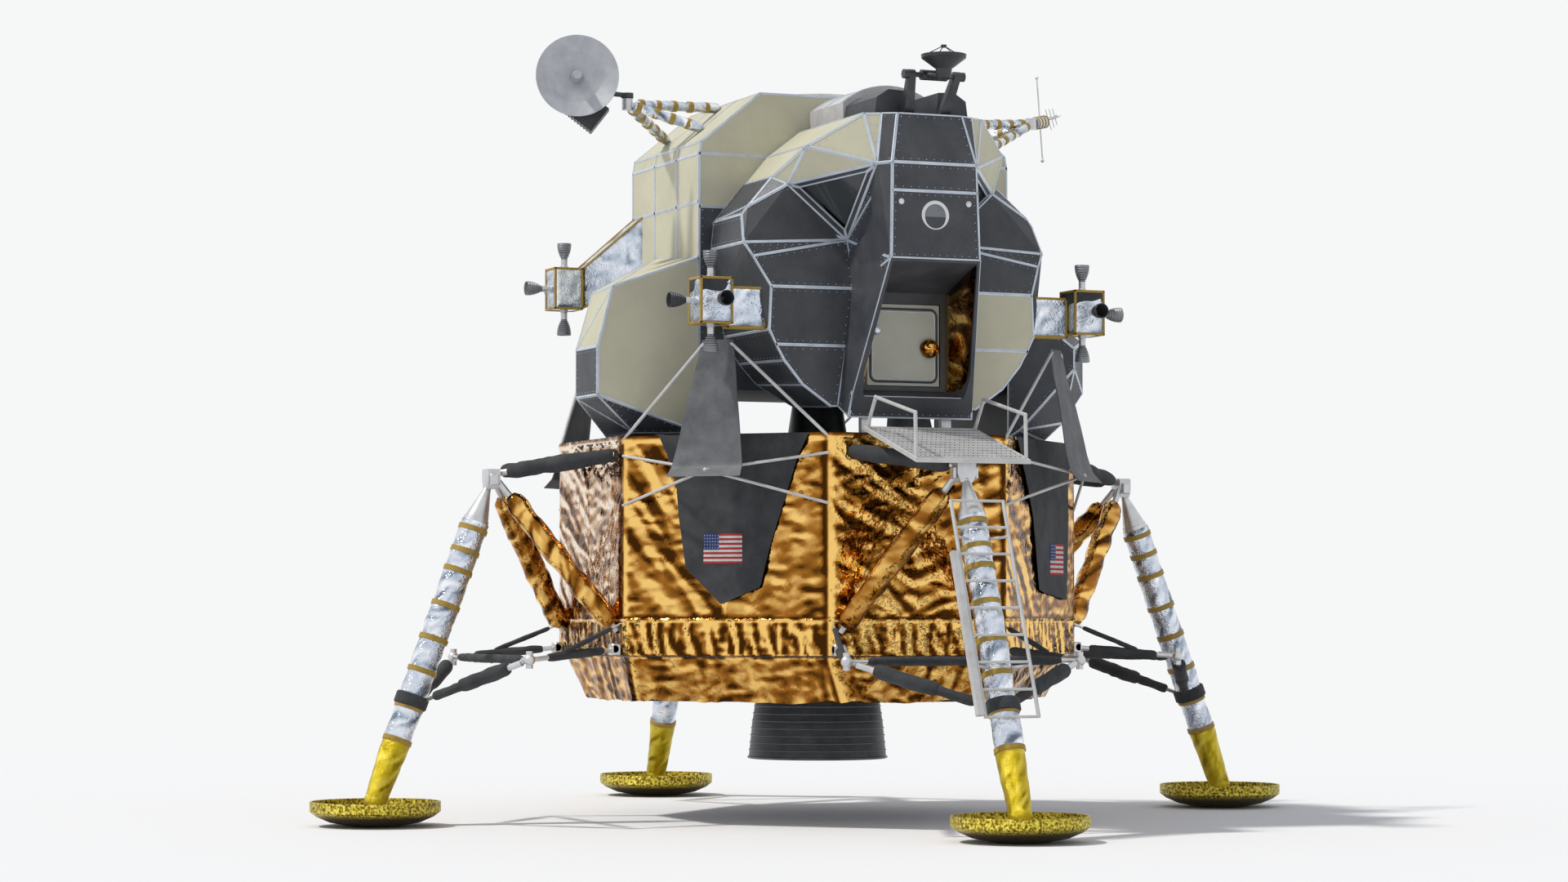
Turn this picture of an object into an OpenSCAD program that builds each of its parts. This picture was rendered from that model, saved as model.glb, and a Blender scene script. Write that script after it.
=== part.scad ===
// Two-stage lunar lander, built from separate named pieces in one frame.
// The origin is the middle of the ground between the foot pads. +Z is up, and the ladder leg points to -Y.
// Starboard is the side towards -X, and port is the side towards +X.

/* [Descent stage] */
// Distance between opposite sides of the descent stage
stage_w = 4378; // [4000:10:5300]
// Width of each side that faces a leg
leg_side_w = 1658; // [1400:10:2000]
// Height of the top deck
deck_z = 3375; // [3100:5:4050]
// Height of the underside of the foil-covered box
box_z = 1467; // [1250:1:1700]
// Depth of the tapered heat shield below the box
shield_h = 391; // [320:1:470]
// Distance between opposite sides of the heat shield at its lowest edge
shield_w = 3980; // [3500:10:4200]
// Diameter of the well around the engine
well_d = 1540; // [1460:10:1900]

/* [Landing gear] */
// Distance from the stage to the top of each leg
hip_reach = 960; // [850:5:1150]
// Distance from the top of each leg out to its pad
foot_reach = 1010; // [850:5:1210]
// Diameter of the wrapped leg tube
leg_d = 250; // [210:2:300]
// Diameter of each foot pad
pad_d = 1131; // [940:1:1360]
// Height of each foot pad's rim
pad_h = 215; // [180:1:260]
// Distance between the two joints of each truss
truss_w = 2144; // [1780:2:2580]
// Diameter of the truss tubes
truss_tube_d = 76; // [50:2:90]
// Diameter of the thick part of the side struts
side_strut_d = 124; // [90:2:150]
// Diameter of the black upper outrigger tubes
upper_tube_d = 130; // [90:2:156]
// Diameter of the foil-wrapped support struts
support_tube_d = 190; // [150:2:228]

/* [Descent engine] */
// Diameter of the nozzle's mouth
mouth_d = 1252; // [1040:2:1300]
// Height of the nozzle's mouth above the ground
mouth_z = 526; // [430:1:630]
// Height of the gimbal axes
gimbal_z = 2250; // [2150:1:2350]
// Thickness of the nozzle's wall
nozzle_wall = 12; // [10:1:16]

/* [Cabin] */
// Widest width of the cabin
cabin_w = 2852; // [2400:2:2960]
// Height of the cabin roof above the deck
roof_rise = 2725; // [2600:5:2900]
// Thickness of the cabin walls
wall_t = 60; // [50:1:72]
// Height of the forward hatch
hatch_h = 716; // [600:1:730]
// Width of the forward hatch's opening
hatch_w = 700; // [580:1:760]
// Thickness of the window panes
pane_t = 12; // [10:1:16]

/* [Midsection] */
// Distance between the front and back walls of the midsection
mid_depth = 1670; // [1560:5:1980]
// Inner diameter of the docking tunnel
tunnel_d = 812; // [680:2:840]
// Height of the docking tunnel above the roof
tunnel_rise = 93; // [70:1:120]

/* [Antennas] */
// Diameter of the steerable dish
dish_d = 730; // [600:5:880]
// Diameter of the radar dish
radar_d = 387; // [320:1:460]

/* [Access] */
// Width of the porch
porch_w = 1052; // [900:2:1200]
// Width of the ladder between its rails
ladder_w = 478; // [400:2:560]
// Number of rungs
rung_count = 9; // [7:1:11]

/* [Fits] */
// Gap between pieces that rest in or on each other
seat = 0.3; // [0.2:0.05:0.4]
// Gap around a running pin
pin_gap = 0.05; // [0.02:0.01:0.1]
// Gap around a moving door
door_gap = 6; // [5:0.5:8]

/* [Hidden] */
$fn = 48;

// The four legs: name, turn about the vertical axis.
LEGS = [["front", 0], ["starboard", -90], ["back", 180], ["port", 90]];
// The four corner deflectors: name, turn.
DEFLECTORS = [["front_starboard", -45], ["front_port", 45], ["back_starboard", -135], ["back_port", 135]];

stage_half = stage_w / 2;
corner_s = leg_side_w / 2;
diag_r = (stage_half + corner_s) / sqrt(2);
diag_s = (stage_half - corner_s) / sqrt(2);
shield_z = box_z - shield_h;
hip_r = stage_half + hip_reach;
hip_z = deck_z - 430;
foot_r = hip_r + foot_reach;
ball_r = 0.4 * leg_d;
ball_z = pad_h;
leg_tilt = atan((foot_r - hip_r) / (hip_z - ball_z));
leg_len = (hip_z - ball_z) / cos(leg_tilt);
truss_r = stage_half + 932;
truss_z = box_z - 24;
truss_joint = 76;
collar_z = 1080;
far = 9000;

// A point on a leg, from its sideways place, its reach and its height.
function leg_pt(s, r, z) = [s, -r, z];
// Reach of the leg's axis at height z.
function leg_r(z) = hip_r + (hip_z - z) * tan(leg_tilt);
// A point part of the way from a to b.
function between(a, b, t) = a + (b - a) * t;
function mirror_x(p) = [-p.x, p.y, p.z];
function both(points) = concat(points, [for (p = points) mirror_x(p)]);

// Turns +Z towards the line from a to b, starting at a.
module aim(a, b) {
    v = b - a;
    translate(a) rotate([0, acos(v.z / norm(v)), atan2(v.y, v.x)]) children();
}

// A round rod from a to b.
module rod(a, b, d) {
    aim(a, b) cylinder(d = d, h = norm(b - a));
}

// A rod that thickens to d between two places along it, given as shares of its length.
module sleeved_rod(a, b, thin_d, d, from, to) {
    rod(a, b, thin_d);
    rod(between(a, b, from), between(a, b, to), d);
}

module octagon(w, side) {
    polygon([for (turn = [0:90:270], s = [-side / 2, side / 2])
        [s * cos(turn) + w / 2 * sin(turn), s * sin(turn) - w / 2 * cos(turn)]]);
}

module block(low, high) {
    translate(low) cube(high - low);
}

// The convex body around a list of points.
module solid_of(points) {
    hull() polyhedron(points, [for (i = [0:len(points) - 3]) [i, i + 1, i + 2]]);
}

// ---------------------------------------------------------------- descent stage

lug_x = 420;
ring_out = 330;
ring_in = 270;
ring_h = 90;
pin_d = 50;
chamber_d = 400;

module descent_stage() {
    color("goldenrod") {
        difference() {
            translate([0, 0, box_z]) linear_extrude(deck_z - box_z) octagon(stage_w, leg_side_w);
            translate([0, 0, box_z - 1]) cylinder(d = well_d, h = gimbal_z + 330 - box_z + 1);
        }
        for (side = [-1, 1]) difference() {
            block([side * lug_x - 40, -70, gimbal_z - 60], [side * lug_x + 40, 70, gimbal_z + 331]);
            translate([side * lug_x - 41, 0, gimbal_z]) rotate([0, 90, 0])
                cylinder(d = pin_d + 2 * pin_gap, h = 82);
        }
    }
}

module base_heat_shield() {
    side_low = leg_side_w - 400;
    color("darkgoldenrod") difference() {
        hull() {
            translate([0, 0, box_z - seat - 1]) linear_extrude(1) octagon(stage_w - 120, leg_side_w - 40);
            translate([0, 0, shield_z]) linear_extrude(1) octagon(shield_w, side_low);
        }
        translate([0, 0, shield_z - 1]) cylinder(d = well_d, h = shield_h + 2, $fn = 64);
    }
}

module gimbal_ring() {
    pin_out = lug_x + 40 - ring_out + 6;
    color("dimgray") difference() {
        union() {
            translate([0, 0, gimbal_z - ring_h / 2]) cylinder(r = ring_out, h = ring_h);
            for (side = [-1, 1]) translate([side * ring_in, 0, gimbal_z]) rotate([0, side * 90, 0])
                cylinder(d = pin_d, h = ring_out - ring_in + pin_out);
        }
        translate([0, 0, gimbal_z - ring_h / 2 - 1]) cylinder(r = ring_in, h = ring_h + 2);
        for (side = [-1, 1]) translate([0, side * (ring_in - 20), gimbal_z]) rotate([-side * 90, 0, 0])
            cylinder(d = pin_d + 2 * pin_gap, h = ring_out - ring_in + 40);
    }
}

// The nozzle's outer line: share of the drop from the throat to the mouth, share of the mouth's radius.
BELL = [[0, 0.19], [0.1, 0.3], [0.22, 0.47], [0.36, 0.66], [0.5, 0.8], [0.64, 0.89], [0.8, 0.95], [1, 1]];

module descent_engine() {
    throat_z = gimbal_z - 160;
    drop = throat_z - mouth_z;
    outer = [for (b = BELL) [b[1] * mouth_d / 2, throat_z - b[0] * drop]];
    inner = [for (b = BELL) [b[1] * mouth_d / 2 - nozzle_wall, throat_z - b[0] * drop]];
    last = len(BELL) - 1;
    color("dimgray") {
        rotate_extrude($fn = 64)
            polygon(concat(outer, [for (i = [last:-1:1]) inner[i]], [[0, inner[0].y]]));
        translate([0, 0, throat_z - 1]) cylinder(d1 = 0.38 * mouth_d / 2, d2 = chamber_d, h = 101);
        translate([0, 0, throat_z + 100]) cylinder(d = chamber_d, h = 290);
        for (side = [-1, 1]) translate([0, side * (chamber_d / 2 - 10), gimbal_z]) rotate([-side * 90, 0, 0])
            cylinder(d = pin_d, h = ring_out - chamber_d / 2 + 10);
    }
}

// ---------------------------------------------------------------- legs

hip = leg_pt(0, hip_r, hip_z);
foot = leg_pt(0, foot_r, ball_z);
hip_ball_r = 34;
cone_h = 268;
sleeve_h = leg_len - (742 - ball_z) / cos(leg_tilt);

module leg_tube_outline(extra) {
    polygon([[0, 0], [hip_ball_r - 4 + extra, 0], [98 + extra, cone_h], [leg_d / 2 + extra, cone_h + 60],
        [leg_d / 2 + extra, sleeve_h], [leg_d * 0.38 + extra, leg_len], [0, leg_len]]);
}

module leg_tube(extra = 0) {
    aim(hip, foot) rotate_extrude() leg_tube_outline(extra);
}

module leg(turn) {
    color("silver") rotate([0, 0, turn]) {
        leg_tube();
        translate(hip) sphere(r = hip_ball_r);
        translate(foot) sphere(r = ball_r);
    }
}

module foot_pad(turn) {
    rim = 20;
    boss_r = ball_r + 55;
    color("gold") rotate([0, 0, turn]) difference() {
        translate([0, -foot_r, 0]) rotate_extrude($fn = 96) polygon([
            [0, 0], [0.36 * pad_d / 2, 0], [0.7 * pad_d / 2, 0.17 * pad_h], [0.9 * pad_d / 2, 0.4 * pad_h],
            [pad_d / 2, 0.6 * pad_h], [pad_d / 2, pad_h], [pad_d / 2 - rim, pad_h],
            [pad_d / 2 - rim, 0.66 * pad_h], [0.82 * pad_d / 2, 0.52 * pad_h],
            [boss_r + 30, 0.42 * pad_h], [boss_r, 0.74 * pad_h], [0, 0.74 * pad_h]]);
        translate(foot) sphere(r = ball_r + seat);
    }
}

bracket_w = 170;
bracket_r0 = hip_r - 100;
bracket_r1 = hip_r + 30;
bracket_top = hip_z + 160;

module outrigger(turn) {
    wall = stage_half + seat;
    upper_at = leg_pt(0, hip_r - 70, bracket_top - 38);
    color("black") rotate([0, 0, turn]) difference() {
        union() {
            block([-bracket_w / 2, -bracket_r1, hip_z - 20], [bracket_w / 2, -bracket_r0, bracket_top]);
            for (side = [-1, 1]) {
                upper_end = leg_pt(side * 0.8 * corner_s, stage_half - 40, deck_z - 145);
                support_end = leg_pt(side * 0.9 * corner_s, stage_half - 20, box_z + 175);
                support_at = leg_pt(side * 50, hip_r - 80, hip_z + 50);
                sleeved_rod(upper_at, upper_end, 60, upper_tube_d, 0.14, 0.93);
                sleeved_rod(support_at, support_end, 60, support_tube_d, 0.16, 0.88);
            }
        }
        block([-far, -wall, 0], [far, far, far]);
        translate(hip) sphere(r = hip_ball_r + seat);
        leg_tube(8);
    }
}

module leg_truss(turn) {
    wall = stage_half + seat;
    fit_z = box_z + 62;
    color("black") rotate([0, 0, turn]) difference() {
        union() {
            rod(leg_pt(-truss_w / 2, truss_r, truss_z), leg_pt(truss_w / 2, truss_r, truss_z), 38);
            rod(leg_pt(-truss_w / 2 + 180, truss_r, truss_z), leg_pt(truss_w / 2 - 180, truss_r, truss_z),
                truss_tube_d);
            for (side = [-1, 1]) {
                joint = leg_pt(side * truss_w / 2, truss_r, truss_z);
                corner = leg_pt(side * (corner_s - 70), stage_half + 40, fit_z);
                lock_at = between(joint, corner, 0.3);
                lock_end = leg_pt(side * (corner_s - 40), stage_half - 20, box_z + 290);
                translate(joint) sphere(r = truss_joint);
                sleeved_rod(joint, corner, 44, truss_tube_d, 0.2, 0.86);
                sleeved_rod(lock_at, lock_end, 26, 44, 0.12, 0.88);
                block([side * (corner_s - 70) - 55, -stage_half - 90, box_z + 10],
                    [side * (corner_s - 70) + 55, -stage_half, box_z + 110]);
            }
        }
        block([-far, -wall, 0], [far, far, far]);
    }
}

module side_struts(turn) {
    collar_at = leg_pt(0, leg_r(collar_z), collar_z);
    along = (foot - hip) / norm(foot - hip);
    color("black") rotate([0, 0, turn]) difference() {
        union() {
            rod(collar_at - 55 * along, collar_at + 55 * along, leg_d + 44);
            for (side = [-1, 1]) {
                joint = leg_pt(side * truss_w / 2, truss_r, truss_z);
                lug = collar_at + [side * 70, 90, 0];
                sleeved_rod(lug, joint, 34, 84, 0.1, 0.5);
                rod(between(lug, joint, 0.36), between(lug, joint, 0.81), side_strut_d);
            }
        }
        leg_tube(seat);
        for (side = [-1, 1]) translate(leg_pt(side * truss_w / 2, truss_r, truss_z))
            sphere(r = truss_joint + seat);
    }
}

// ---------------------------------------------------------------- ladder and porch

rail_d = 32;
rung_d = 24;
ladder_out = leg_d / 2 / cos(leg_tilt) + rung_d / 2 + 4;
ladder_top_z = deck_z - 599;
ladder_low_z = 998;

// A point in the ladder's plane, from its sideways place and its height.
function ladder_pt(s, z) = leg_pt(s, leg_r(z) + ladder_out, z);

module ladder() {
    rung_step = (ladder_top_z - ladder_low_z - 12) / (rung_count - 1);
    color("lightgray") difference() {
        union() {
            for (side = [-1, 1]) {
                s = side * ladder_w / 2;
                rod(ladder_pt(s, ladder_top_z), ladder_pt(s, ladder_low_z), rail_d);
                for (z = [ladder_top_z - 300, ladder_low_z + 420])
                    rod(ladder_pt(s, z), leg_pt(0, leg_r(z - 40), z - 40), 26);
            }
            for (i = [0:rung_count - 1]) {
                z = ladder_top_z - 6 - i * rung_step;
                rod(ladder_pt(-ladder_w / 2, z), ladder_pt(ladder_w / 2, z), rung_d);
            }
        }
        leg_tube(seat);
    }
    color("white") ladder_bar();
}

// The square bar beside the starboard rail.
module ladder_bar() {
    bar = 58;
    bar_s = -ladder_w / 2 - rail_d / 2 - bar / 2 - seat;
    top = ladder_pt(bar_s, ladder_top_z - 430);
    low = ladder_pt(bar_s, ladder_low_z + 20);
    aim(top, low) translate([-bar / 2, -bar / 2, 0]) cube([bar, bar, norm(low - top)]);
}

porch_back_z = deck_z + 58;
porch_back_r = stage_half + 25;
porch_len = 1149;
porch_slope = 16.17;
porch_t = 30;

// Places children in the porch's plane: X across, Y outwards from its back edge, Z up from its top face.
module on_porch() {
    translate([0, -porch_back_r, porch_back_z]) rotate([porch_slope, 0, 0]) mirror([0, 1, 0]) children();
}

function porch_pt(s, out, up) = [s, -porch_back_r - out * cos(porch_slope) + up * sin(porch_slope),
    porch_back_z - out * sin(porch_slope) + up * cos(porch_slope)];

module porch() {
    foot_out = (hip_r - 25 - porch_back_r) / cos(porch_slope);
    color("lightgray") {
        on_porch() block([-porch_w / 2, 0, -porch_t], [porch_w / 2, porch_len, 0]);
        for (side = [-1, 1]) difference() {
            block([side * 300 - 35, -porch_back_r - 60, deck_z - 90],
                [side * 300 + 35, -stage_half - seat, porch_back_z]);
            on_porch() block([-far, -far, -porch_t / 2], [far, far, far]);
        }
        difference() {
            block([-60, -hip_r - 10, bracket_top + seat], [60, -bracket_r0 - 15, porch_back_z]);
            on_porch() block([-far, -far, -porch_t / 2], [far, far, far]);
        }
    }
}

module handrails() {
    tube = 32;
    color("silver") for (side = [-1, 1]) difference() {
        union() {
            s = side * (porch_w / 2 - tube / 2 - 4);
            corners = [porch_pt(s, 50, -5), [s, -porch_back_r - 232, porch_back_z + 236],
                [s, -porch_back_r - 1034, porch_back_z + 67], porch_pt(s, porch_len - 60, -5)];
            for (i = [0:2]) rod(corners[i], corners[i + 1], tube);
            for (i = [1:2]) translate(corners[i]) sphere(d = tube + 4);
        }
        on_porch() block([-far, -far, -far], [far, far, seat]);
    }
}

// ---------------------------------------------------------------- deflectors, blankets, fittings

// The deflector's line seen from the side: reach beyond the diagonal wall, height above the deck.
SWEEP = [[160, 805], [205, 560], [270, 300], [310, 100], [350, -120], [400, -290], [480, -375]];

module deflector(turn) {
    wall = diag_r + seat;
    sheet_t = 14;
    top_w = 290;
    low_w = 680;
    outer = [for (p = SWEEP) [diag_r + p[0], deck_z + p[1]]];
    inner = [for (i = [len(SWEEP) - 1:-1:0]) [diag_r + SWEEP[i][0] - sheet_t, deck_z + SWEEP[i][1]]];
    apex = leg_pt(0, diag_r + 412, deck_z - 320);
    top_z = deck_z + SWEEP[0][1];
    low_z = deck_z + SWEEP[len(SWEEP) - 1][1];
    color("dimgray") rotate([0, 0, turn]) {
        intersection() {
            rotate([90, 0, -90]) translate([0, 0, -low_w]) linear_extrude(2 * low_w) polygon(concat(outer, inner));
            rotate([90, 0, 0]) linear_extrude(far) polygon([
                [-top_w / 2, top_z + 1], [top_w / 2, top_z + 1], [low_w / 2, low_z - 1], [-low_w / 2, low_z - 1]]);
        }
        difference() {
            union() for (side = [-1, 1]) {
                rod(leg_pt(side * (top_w / 2 - 20), diag_r + 158, top_z - 30),
                    leg_pt(side * diag_s, diag_r - 20, deck_z - 35), 30);
                rod(apex, leg_pt(side * diag_s, diag_r - 20, deck_z - 170), 26);
                rod(apex, leg_pt(side * diag_s, diag_r - 20, deck_z - 600), 26);
                translate(apex) sphere(d = 44);
            }
            block([-far, -wall, 0], [far, far, far]);
        }
    }
}

// A blanket's outline on a diagonal wall: share of the wall's half width, drop below the deck.
STARBOARD_BLANKET = [[-0.63, 0], [-0.46, 360], [-0.43, 700], [-0.36, 1149], [-0.02, 1459], [0.36, 1312],
    [0.46, 944], [0.72, 201], [0.83, 0]];
PORT_BLANKET = [[-0.75, 0], [-0.29, 680], [-0.14, 1339], [0.68, 1419], [0.72, 400], [0.8, 0]];

module blanket(outline) {
    rotate([90, 0, 0]) translate([0, deck_z, diag_r + seat]) linear_extrude(12)
        polygon([for (p = outline) [p[0] * diag_s, -p[1]]]);
}

module side_blankets() {
    color("dimgray") {
        rotate([0, 0, -45]) blanket(STARBOARD_BLANKET);
        rotate([0, 0, 45]) blanket(PORT_BLANKET);
        rotate([0, 0, -135]) mirror([1, 0, 0]) blanket(STARBOARD_BLANKET);
        rotate([0, 0, 135]) mirror([1, 0, 0]) blanket(PORT_BLANKET);
    }
}

bay_rise = 45;
fitting_x = 1650;

module stage_fittings() {
    color("gray") {
        for (x = [-fitting_x, fitting_x], y = [-420, 260])
            translate([x, y, deck_z]) cylinder(d = 160, h = bay_rise);
        difference() {
            for (side = [-1, 1])
                block([side * 380 - 45, -1960, deck_z], [side * 380 + 45, -1900, deck_z + 400]);
            translate([0, 0, -seat]) cabin_hull_low_prow();
            translate([0, 0, -seat]) cabin_hull_cheeks();
        }
    }
}

// ---------------------------------------------------------------- cabin

x_scale = cabin_w / 2852;

// A point on the ascent stage: half-width share kept in step with the cabin, height above the deck.
function cab(x, y, up) = [x * x_scale, y, deck_z + up];

prow_top = cab(303, -2448, roof_rise);
prow_bend = cab(395, -2545, 2290);
prow_chin = cab(416, -2568, 1456);
prow_sill = cab(563, -2093, 326);
prow_foot = cab(582, -2044, 141);
prow_side_top = cab(419, -2383, roof_rise);
window_top = cab(468, -2395, 2290);
window_low = cab(450, -1720, 1694);
window_out = cab(978, -1641, 2168);
plate_y = -1900;
mid_front = -870;

module cabin_hull_upper_prow() {
    solid_of(concat(both([prow_top, prow_bend, prow_chin, prow_side_top, window_top, window_low]),
        both([cab(400, mid_front, roof_rise), cab(400, mid_front, 1456), cab(457, plate_y, 1259)])));
}

module cabin_hull_low_prow() {
    solid_of(both([prow_chin, prow_sill, prow_foot, window_low, cab(457, plate_y, 1259),
        cab(561, plate_y, 622), cab(619, plate_y, 239), cab(450, plate_y + 200, 1259)]));
}

module cabin_hull_cheeks() {
    solid_of(both([window_low, cab(1426, -1732, 1640), cab(1363, -1784, 1518),
        cab(1241, plate_y, 1255), cab(1258, plate_y, 887), cab(1120, plate_y, 625), cab(949, plate_y, 420),
        cab(682, plate_y, 235), cab(619, plate_y, 239),
        cab(1384, mid_front, 1654), cab(1300, mid_front, 1200), cab(1258, mid_front, 887),
        cab(1120, mid_front, 655), cab(949, mid_front, 475), cab(600, mid_front, 290)]));
}

module cabin_hull_shoulders() {
    solid_of(both([window_low, window_out, cab(1073, -1503, 2238), cab(1335, -1600, 1965),
        cab(1390, -1600, 1895), cab(1426, -1732, 1640), cab(300, -1720, 1640),
        cab(1076, mid_front, 2238), cab(1359, mid_front, 1897), cab(1384, mid_front, 1654)]));
}

module cabin_hull_window() {
    solid_of(both([window_low, window_out, window_top, cab(900, mid_front, 2200), cab(300, mid_front, 1700)]));
}

module cabin_hull_brow() {
    solid_of(both([window_top, window_out, prow_side_top, cab(552, -2311, roof_rise),
        cab(930, -1950, 2465), cab(1073, -1503, 2238), cab(552, mid_front, roof_rise),
        cab(867, mid_front, 2485), cab(1076, mid_front, 2238)]));
}

module cabin_outside() {
    cabin_hull_upper_prow();
    cabin_hull_low_prow();
    cabin_hull_cheeks();
    cabin_hull_shoulders();
    cabin_hull_window();
    cabin_hull_brow();
}

// Room inside the cabin, one wall thickness in from the outer panels.
module cabin_inside() {
    t = wall_t;
    back = mid_front + 1;
    solid_of(both([cab(540, plate_y, 235) + [0, t, t + 30], cab(900, plate_y, 430) + [0, t, t + 40],
        cab(1060, plate_y, 640) + [0, t, t], cab(1190, plate_y, 890) + [-t / 2, t, 0],
        cab(1180, plate_y, 1240) + [-t / 2, t, 0], cab(1350, -1732, 1620) + [-t / 2, t, 0],
        cab(1310, -1600, 1880) + [-t / 2, t, 0], cab(1000, -1503, 2180) + [-t / 2, t, 0],
        cab(540, back, 300) + [0, 0, t], cab(1060, back, 700) + [0, 0, t],
        cab(1300, back, 1640) - [t / 2, 0, 0], cab(1000, back, 2180) - [t / 2, 0, 0]]));
    solid_of(both([cab(250, -2448, roof_rise) + [0, 1.2 * t, -t], cab(330, -2545, 2290) + [0, 1.2 * t, 0],
        cab(330, -2568, 1600) + [0, 1.2 * t, 0], cab(350, -1860, 1400) + [0, t, 0],
        cab(420, -2300, 2290) + [-t / 2, t, 0], cab(500, -2200, roof_rise) + [-t / 2, 1.2 * t, -t],
        cab(800, -1800, 2400) + [-t / 2, t, 0], cab(880, -1550, 2190) + [-t / 2, t, 0],
        cab(500, back, roof_rise) + [-t / 2, 0, -t], cab(800, back, 2440) + [-t / 2, 0, 0],
        cab(350, back, 1400)]));
}

recess_half = 410;
hatch_low = deck_z + 425;
hatch_top = hatch_low + hatch_h;

// The sloping recess in the front face that leads to the hatch.
module hatch_recess() {
    solid_of(both([[recess_half, plate_y, deck_z + 387], [recess_half, plate_y, deck_z + 1238],
        cab(390, -2640, 1470), cab(520, -2250, 330), cab(510, -2300, 250), cab(395, -2700, 1470)]));
}

module window_hole(side) {
    mirror([side < 0 ? 1 : 0, 0, 0]) window_slab(0.72, -420, 200);
}

// A slab in the window's plane: the facet shrunk to a share of its size, between two depths.
module window_slab(share, from, to) {
    middle = (window_low + window_out + window_top) / 3;
    out = cross(window_low - window_top, window_out - window_top);
    n = out / norm(out) * (out.y < 0 ? 1 : -1);
    corners = [for (p = [window_low, window_out, window_top]) between(middle, p, share)];
    solid_of(concat([for (p = corners) p + n * from], [for (p = corners) p + n * to]));
}

hinge_x = -hatch_w / 2 - 12;
hinge_y = plate_y + wall_t + 25;
knuckle_d = 36;
hinge_pin_d = 16;
HINGE_ZS = [150, hatch_h - 150];

module cabin_shell() {
    difference() {
        cabin_outside();
        difference() {
            cabin_inside();
            hatch_wall();
        }
        hatch_recess();
        block([-hatch_w / 2, plate_y - 20, hatch_low], [hatch_w / 2, plate_y + wall_t + 90, hatch_top]);
        for (side = [-1, 1]) window_hole(side);
    }
}

// The bulkhead around the hatch, one wall thick.
module hatch_wall() {
    block([-recess_half - 60, plate_y, deck_z + 300], [recess_half + 60, plate_y + wall_t, deck_z + 1300]);
}

module prow_zone() {
    cabin_hull_low_prow();
    intersection() {
        cabin_hull_upper_prow();
        block([-far, -far, 0], [far, plate_y + wall_t, far]);
    }
}

module cabin_front() {
    color("dimgray") intersection() {
        cabin_shell();
        prow_zone();
    }
}

module hatch_hinges() {
    color("gray") for (z = HINGE_ZS, end = [-1, 1]) difference() {
        union() {
            translate([hinge_x, hinge_y, hatch_low + z + end * 46 - 15]) cylinder(d = knuckle_d, h = 30);
            block([hinge_x - 45, plate_y + wall_t + seat, hatch_low + z + end * 46 - 15],
                [hinge_x, hinge_y, hatch_low + z + end * 46 + 15]);
        }
        translate([hinge_x, hinge_y, hatch_low + z + end * 46 - 16])
            cylinder(d = hinge_pin_d + 2 * pin_gap, h = 32);
    }
}

module cabin_port() {
    color("darkslategray") difference() {
        cabin_shell();
        prow_zone();
        for (shift = [[seat, -seat, seat], [0, -seat, -seat], [seat, 6, -seat]]) translate(shift) prow_zone();
        block([-far, -far, 0], [0, far, far]);
    }
}

module cabin_starboard() {
    mirror([1, 0, 0]) cabin_port();
}

module window_panes() {
    color("lightblue") for (flip = [0, 1]) mirror([flip, 0, 0]) window_slab(0.7185, -30 - pane_t, -30);
}

module forward_hatch() {
    leaf_t = 50;
    color("beige") {
        block([-hatch_w / 2 + door_gap, plate_y, hatch_low + door_gap],
            [hatch_w / 2 - 2 * door_gap, plate_y + leaf_t, hatch_top - door_gap]);
        for (z = HINGE_ZS) {
            translate([hinge_x, hinge_y, hatch_low + z - 30]) cylinder(d = knuckle_d, h = 60);
            block([hinge_x, hinge_y - 8, hatch_low + z - 30], [hinge_x + 60, hinge_y + 8, hatch_low + z + 30]);
            block([hinge_x + 40, plate_y + leaf_t - 5, hatch_low + z - 30],
                [hinge_x + 60, hinge_y + 8, hatch_low + z + 30]);
            translate([hinge_x, hinge_y, hatch_low + z - 62]) cylinder(d = hinge_pin_d, h = 124);
        }
    }
}

// ---------------------------------------------------------------- midsection and bays

mid_half = 1500;
mid_roof = 3062;
mid_floor = 425;
mid_back = mid_front + mid_depth;

// The midsection's outline, drawn in by t on every side.
module mid_outline(t = 0) {
    half = [[1350, mid_floor + t], [mid_half - t, mid_floor + 110], [mid_half - t, 2500],
        [1481 - 0.9 * t, 2606 - 0.4 * t], [923 - 0.4 * t, mid_roof - t]];
    polygon(concat([for (p = half) [p[0], deck_z + p[1]]],
        [for (i = [len(half) - 1:-1:0]) [-half[i][0], deck_z + half[i][1]]]));
}

module mid_prism(y0, y1, t = 0) {
    translate([0, y1, 0]) rotate([90, 0, 0]) linear_extrude(y1 - y0) mid_outline(t);
}

engine_top = 1150;
skirt_d = 560;

module midsection() {
    color("tan") difference() {
        mid_prism(mid_front, mid_back);
        mid_prism(mid_front + wall_t, mid_back - wall_t, wall_t);
        block([-700, mid_front - 1, deck_z + 700], [700, mid_front + wall_t + 1, deck_z + 2350]);
        translate([0, 0, deck_z + mid_floor - 1]) cylinder(d = skirt_d + 20, h = wall_t + 2);
        translate([0, 0, deck_z + mid_roof - wall_t - 1]) cylinder(d = tunnel_d + 108 + 2 * seat, h = wall_t + 2);
    }
}

module ascent_engine() {
    floor_z = deck_z + mid_floor + wall_t;
    color("gray") rotate_extrude() polygon([[0, deck_z + 60], [200, deck_z + 30], [skirt_d / 2, deck_z + 25],
        [skirt_d / 2 - 70, floor_z - 1], [skirt_d / 2 - 70, floor_z + seat], [skirt_d / 2 + 60, floor_z + seat],
        [skirt_d / 2 + 60, floor_z + 40], [230, floor_z + 80], [230, deck_z + engine_top], [0, deck_z + engine_top]]);
}

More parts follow.
